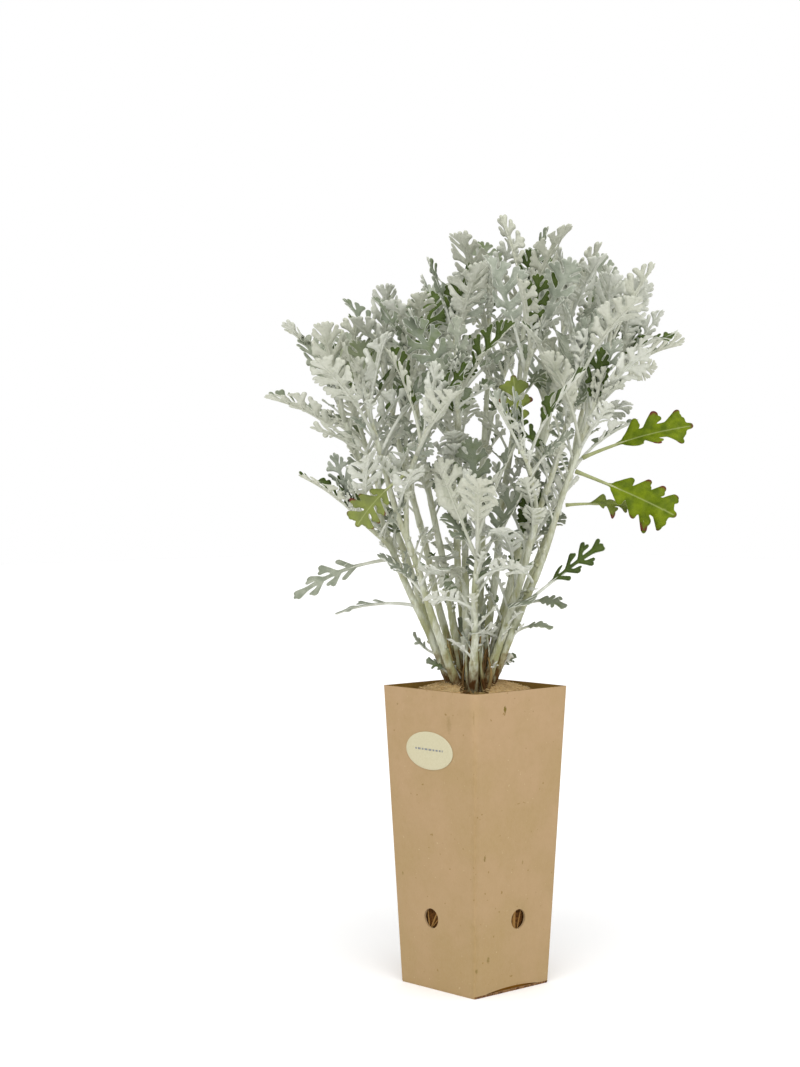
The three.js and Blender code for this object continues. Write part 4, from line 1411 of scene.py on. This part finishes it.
def add_crumb(shape, quarter, aside, wall, draw):
    """A crumb of soil behind a drain hole, flat where it meets the wall."""
    x, z = aside + draw(-9, 9), DRAIN.up + draw(-9, 9)
    size = draw(0.6, 1.5)
    place = np.array([x, -wall + size * 0.8 + 1.4, z])
    direction = unit(draw.many(3, -1, 1))
    path = [place + direction * size * share for share in (-1, -0.6, 0.6, 1)]
    points, triangles = tube(path, [size * share for share in (0.3, 0.75, 0.7, 0.25)], 6)
    points[:, 1] = np.maximum(points[:, 1], -wall + 1.0)
    shape.add(turned(points, 90 * quarter), triangles, tone=draw(0, 1) ** 5)


def add_root(shape, quarter, middle, out, lean, radius, draw):
    """A root that runs up behind a drain hole."""
    t = np.linspace(-1, 1, ROOT.points)
    x = middle + t * ROOT.reach * sin(radians(lean)) + draw(-1, 1) * np.cos(2 * t)
    path = np.stack([x, np.full(ROOT.points, out), DRAIN.up + t * ROOT.reach], 1)
    points, triangles = tube(path, np.full(ROOT.points, radius), ROOT.sides)
    shape.add(turned(points, 90 * quarter), triangles, tone=draw(0.5, 0.9))


def make_soil():
    """The root ball, with crumbs and roots that show through the drain holes."""
    shape, rings = Shape(), soil_rings()
    shape.add(*capped(rings, [0, 0, SOIL.bottom], rings[-1].mean(0)))
    draw = Draws(91000)
    wall = half_width_at(DRAIN.up) - POT.board
    for quarter, (way, leans, radii, spots) in enumerate(HOLES):
        aside = way * DRAIN.aside
        for _ in range(CRUMBS):
            add_crumb(shape, quarter, aside, wall, draw)
        for k, (lean, radius, spot) in enumerate(zip(leans, radii, spots)):
            add_root(shape, quarter, aside + spot, -wall + 0.35 + radius + 0.3 * (k % 2), lean, radius, draw)
    shape.build("potting_soil", EARTH, "earth", ["root_ball"])


# ---------------------------------------------------------------- the pot and its label

FOLD_RADIUS = 1.6
FRONT_FOLD = Named(corner=3, radius=6.0, low=120, crease=1.6)
BULGE = 0.7
LINER, GROOVE = 0.35, 2.4
ARC_STEPS, SIDE_STEPS = 7, 22
FLUTES = Named(count=248, steps=6, half=0.1, play=0.14)
SHARP_ANGLE = 32


def wall_ring(up, inset):
    """A ring round the pot at a level, inside its outer face by an inset."""
    half = half_width_at(up) - inset
    softened = float(np.interp(up, [FRONT_FOLD.low, POT.height], [0, 1])) ** 2
    radii = [FOLD_RADIUS] * 4
    radii[FRONT_FOLD.corner] += (FRONT_FOLD.radius - FOLD_RADIUS) * softened
    radii = [max(0.4, radius - inset) for radius in radii]
    angles = np.linspace(0, pi / 2, ARC_STEPS)
    run = np.linspace(0, 1, SIDE_STEPS + 2)[1:-1, None]
    parts = []
    for k in range(4):
        radius, after = radii[k], radii[(k + 1) % 4]
        arc = np.stack([half - radius + radius * np.cos(angles), half - radius + radius * np.sin(angles)], 1)
        flat = arc[-1] + (np.array([after - half, half]) - arc[-1]) * run
        flat[:, 1] += BULGE * sin(pi * (up / POT.height)) * np.sin(run[:, 0] * pi)
        quarter = np.column_stack([np.concatenate([arc, flat]), np.full(ARC_STEPS + SIDE_STEPS, up)])
        parts.append(turned(quarter, 90 * k))
    return np.concatenate(parts)


def cutter(points, triangles):
    mesh = bpy.data.meshes.new("cutter")
    mesh.from_pydata((points * MM).tolist(), [], triangles.tolist())
    return placed("cutter", mesh)


def drill(quarter_turn, aside):
    """A cutter for the drain hole of one wall."""
    angles, past = around(DRAIN.sides), [0, 60, 0]
    x, z = aside + DRAIN.radius * np.cos(angles), DRAIN.up + DRAIN.radius * np.sin(angles)
    ring = np.stack([x, np.zeros(DRAIN.sides), z], 1)
    points, triangles = loft([ring + past, ring - past])
    return cutter(turned(points, quarter_turn), triangles)


def arch_cutter():
    """A cutter for the open lower edge of the wall that looks along +X."""
    radius = (ARCH.half_span**2 + ARCH.rise**2) / (2 * ARCH.rise)
    reach = sqrt(radius**2 - (radius - ARCH.rise + POT.board) ** 2)
    y = np.linspace(-reach, reach, ARCH.points)
    upper = np.stack([np.zeros(ARCH.points), y, ARCH.rise - radius + np.sqrt(radius**2 - y**2)], 1)
    ring = np.concatenate([upper, [[0, reach, POT.board - 0.01], [0, -reach, POT.board - 0.01]]])
    half = float(half_width_at(0))
    return cutter(*loft([ring + [half + POT.board, 0, 0], ring + [half - POT.board, 0, 0]]))


def cut(made, cutters):
    for tool in cutters:
        modifier = made.modifiers.new("cut", "BOOLEAN")
        modifier.operation = "DIFFERENCE"
        modifier.solver = "EXACT"
        modifier.object = tool
    graph = bpy.context.evaluated_depsgraph_get()
    mesh = bpy.data.meshes.new_from_object(made.evaluated_get(graph))
    made.modifiers.clear()
    made.data = mesh
    for tool in cutters:
        bpy.data.objects.remove(tool)


def front_crease(points):
    """How near each point is to the front fold, which the board darkens: partly wear, partly painted shade."""
    half = half_width_at(points[:, 2])
    from_fold = (half - points[:, 0]) + (half + points[:, 1])
    return np.clip(1.6 - from_fold / FRONT_FOLD.crease, 0, 1)


def make_pot():
    """The folded board, with a groove between its two liners all round the rim."""
    top, groove = POT.height, POT.height - GROOVE
    rings = [wall_ring(0, 0.25)]
    rings += [wall_ring(up, 0) for up in [1, 2.5, 4, 8, *np.linspace(14, top - 6, 22), groove, top]]
    rings += [wall_ring(top, LINER), wall_ring(groove, LINER)]
    first_inner = len(rings) - 1
    rings += [wall_ring(groove, POT.board - LINER), wall_ring(top, POT.board - LINER)]
    rings += [wall_ring(up, POT.board) for up in [top, groove, *np.linspace(top - 6, 14, 22), 8, POT.floor]]
    points, triangles = loft(rings)
    # The inside walls are marked, and the board gives them painted shade.
    inner = np.zeros(len(points))
    inner[first_inner * len(rings[0]):] = 1
    inner[-2] = 0
    shape = Shape()
    shape.add(points, triangles, inner=inner, rib=front_crease(points))
    made = shape.build("folded_board", BOARD, "board", ["carton_pot"])
    cut(made, [drill(0, -DRAIN.aside), drill(90, DRAIN.aside), arch_cutter()])
    made.data.set_sharp_from_angle(angle=radians(SHARP_ANGLE))


def make_flutes():
    """The wavy middle layer of the board, seen in the rim."""
    count = FLUTES.count * FLUTES.steps
    track = spread(wall_ring(POT.height, 0)[:, :2], count=count)
    ahead = unit(np.roll(track, -1, 0) - np.roll(track, 1, 0))
    inward = np.stack([-ahead[:, 1], ahead[:, 0]], 1)
    middle = POT.board / 2
    wave = middle + (middle - LINER - FLUTES.play) * np.sin(np.arange(count) * TURN / FLUTES.steps)
    low, high = POT.height - GROOVE - FLUTES.half, POT.height - FLUTES.half
    skins = []
    for side, level in ((-1, low), (-1, high), (1, high), (1, low)):
        flat = track + inward * (wave + side * FLUTES.half)[:, None]
        skins.append(np.column_stack([flat, np.full(count, level)]))
    shape = Shape()
    # The flutes in the rim's groove take a share of the insides' painted shade.
    shape.add(np.concatenate(skins), bands(len(skins), count, True), inner=0.3)
    shape.build("board_flutes", BOARD, "board", ["carton_pot"])


LABEL = Named(half_wide=22.7, half_high=13, thick=0.3, up=164.6, sides=72, out=0.12)
RULE = Named(half_long=13.4, half_high=0.62, up=0.8, gap=1.15, thick=0.06)


def on_front_wall(x, z, out):
    """Points of the -Y wall: across and up along it from the label's middle, and out of it."""
    slope = atan((POT.top - POT.base) / 2 / POT.height)
    level = LABEL.up + z * cos(slope)
    bulge = BULGE * np.sin(pi * level / POT.height) * np.cos(x / 45 * pi / 2)
    return np.stack([x, -(half_width_at(level) + bulge + LABEL.out + out), level], 1)


def make_label():
    angles, rings = around(LABEL.sides), []
    rims = ((1, 0), (1, LABEL.thick * 0.6), (0.985, LABEL.thick))
    for share, depth in (*rims, *((inner, LABEL.thick) for inner in np.linspace(0.9, 0.05, 12))):
        x, z = LABEL.half_wide * share * np.cos(angles), LABEL.half_high * share * np.sin(angles)
        rings.append(np.stack([x, np.full(LABEL.sides, depth), z], 1))
    points, triangles = loft(rings)
    shape = Shape()
    shape.add(on_front_wall(points[:, 0], points[:, 2], points[:, 1]), triangles[:, ::-1])
    add_rule(shape)
    shape.build("oval_label", PAPER, "paper", ["label"])


def add_rule(shape):
    """A thin dashed rule across the label."""
    draw = Draws(99000)
    x = -RULE.half_long
    while x < RULE.half_long - 0.8:
        after = min(RULE.half_long, x + draw(1.0, 2.8))
        corners = np.array([(x, -1), (after, -1), (after, 1), (x, 1)])
        flat = corners * [1, RULE.half_high] + [0, RULE.up]
        low = on_front_wall(flat[:, 0], flat[:, 1], np.full(4, LABEL.thick - 0.02))
        high = on_front_wall(flat[:, 0], flat[:, 1], np.full(4, LABEL.thick + RULE.thick))
        shape.add(*loft([low, high]), tone=1.0)
        x = after + RULE.gap


# ---------------------------------------------------------------- stage, light and camera

FLOOR_REACH = 6
CAMERA = Named(away=1.449, up=0.351, azimuth=45, yaw=2.05, pitch=-1.58, lens=70.85)
AMBIENT = 0.78


def make_stage():
    mesh = bpy.data.meshes.new("floor")
    corners = [(x * FLOOR_REACH, y * FLOOR_REACH, 0) for x, y in ((-1, -1), (1, -1), (1, 1), (-1, 1))]
    mesh.from_pydata(corners, [], [(0, 1, 2, 3)])
    graph = Graph("floor", 0.9, 0.5)
    graph.feed(graph.shader.inputs["Base Color"], (0.96, 0.96, 0.96, 1))
    mesh.materials.append(graph.material)
    placed("floor", mesh)


def make_sun(name, azimuth, elevation, softness, level):
    """A soft light from far away; its level is what it adds to a white surface that faces it."""
    lamp = bpy.data.lights.new(name, "SUN")
    lamp.angle = radians(softness)
    lamp.energy = pi * level
    placed(name, lamp).rotation_euler = (radians(90 - elevation), 0, radians(azimuth))


def make_camera():
    data = bpy.data.cameras.new("camera")
    data.lens = CAMERA.lens
    made = placed("camera", data)
    azimuth = radians(CAMERA.azimuth)
    made.location = (CAMERA.away * sin(azimuth), -CAMERA.away * cos(azimuth), CAMERA.up)
    made.rotation_euler = (radians(90 + CAMERA.pitch), 0, radians(CAMERA.azimuth + CAMERA.yaw))
    bpy.context.scene.camera = made


def make_world():
    """A white backdrop that lights the object more softly than it shows."""
    world = bpy.data.worlds.new("studio")
    world.use_nodes = True
    nodes, links = world.node_tree.nodes, world.node_tree.links
    seen = nodes.new("ShaderNodeLightPath").outputs["Is Camera Ray"]
    strength = nodes.new("ShaderNodeMapRange")
    strength.inputs["To Min"].default_value = AMBIENT
    strength.inputs["To Max"].default_value = 1.0
    links.new(seen, strength.inputs["Value"])
    background = nodes["Background"]
    background.inputs["Color"].default_value = (1, 1, 1, 1)
    links.new(strength.outputs[0], background.inputs["Strength"])
    bpy.context.scene.world = world
    bpy.context.scene.view_settings.view_transform = "Standard"


for number in range(len(STEMS)):
    make_stem(number)
for number in range(len(GREEN_LEAVES)):
    make_green_leaf(number)
make_crown()
make_foot_leaves()
make_mat()
make_soil()
make_pot()
make_flutes()
make_label()
make_stage()
make_sun("key", 41, 56, 50, 0.46)
make_sun("fill", 76, 48, 70, 0.14)
make_camera()
make_world()
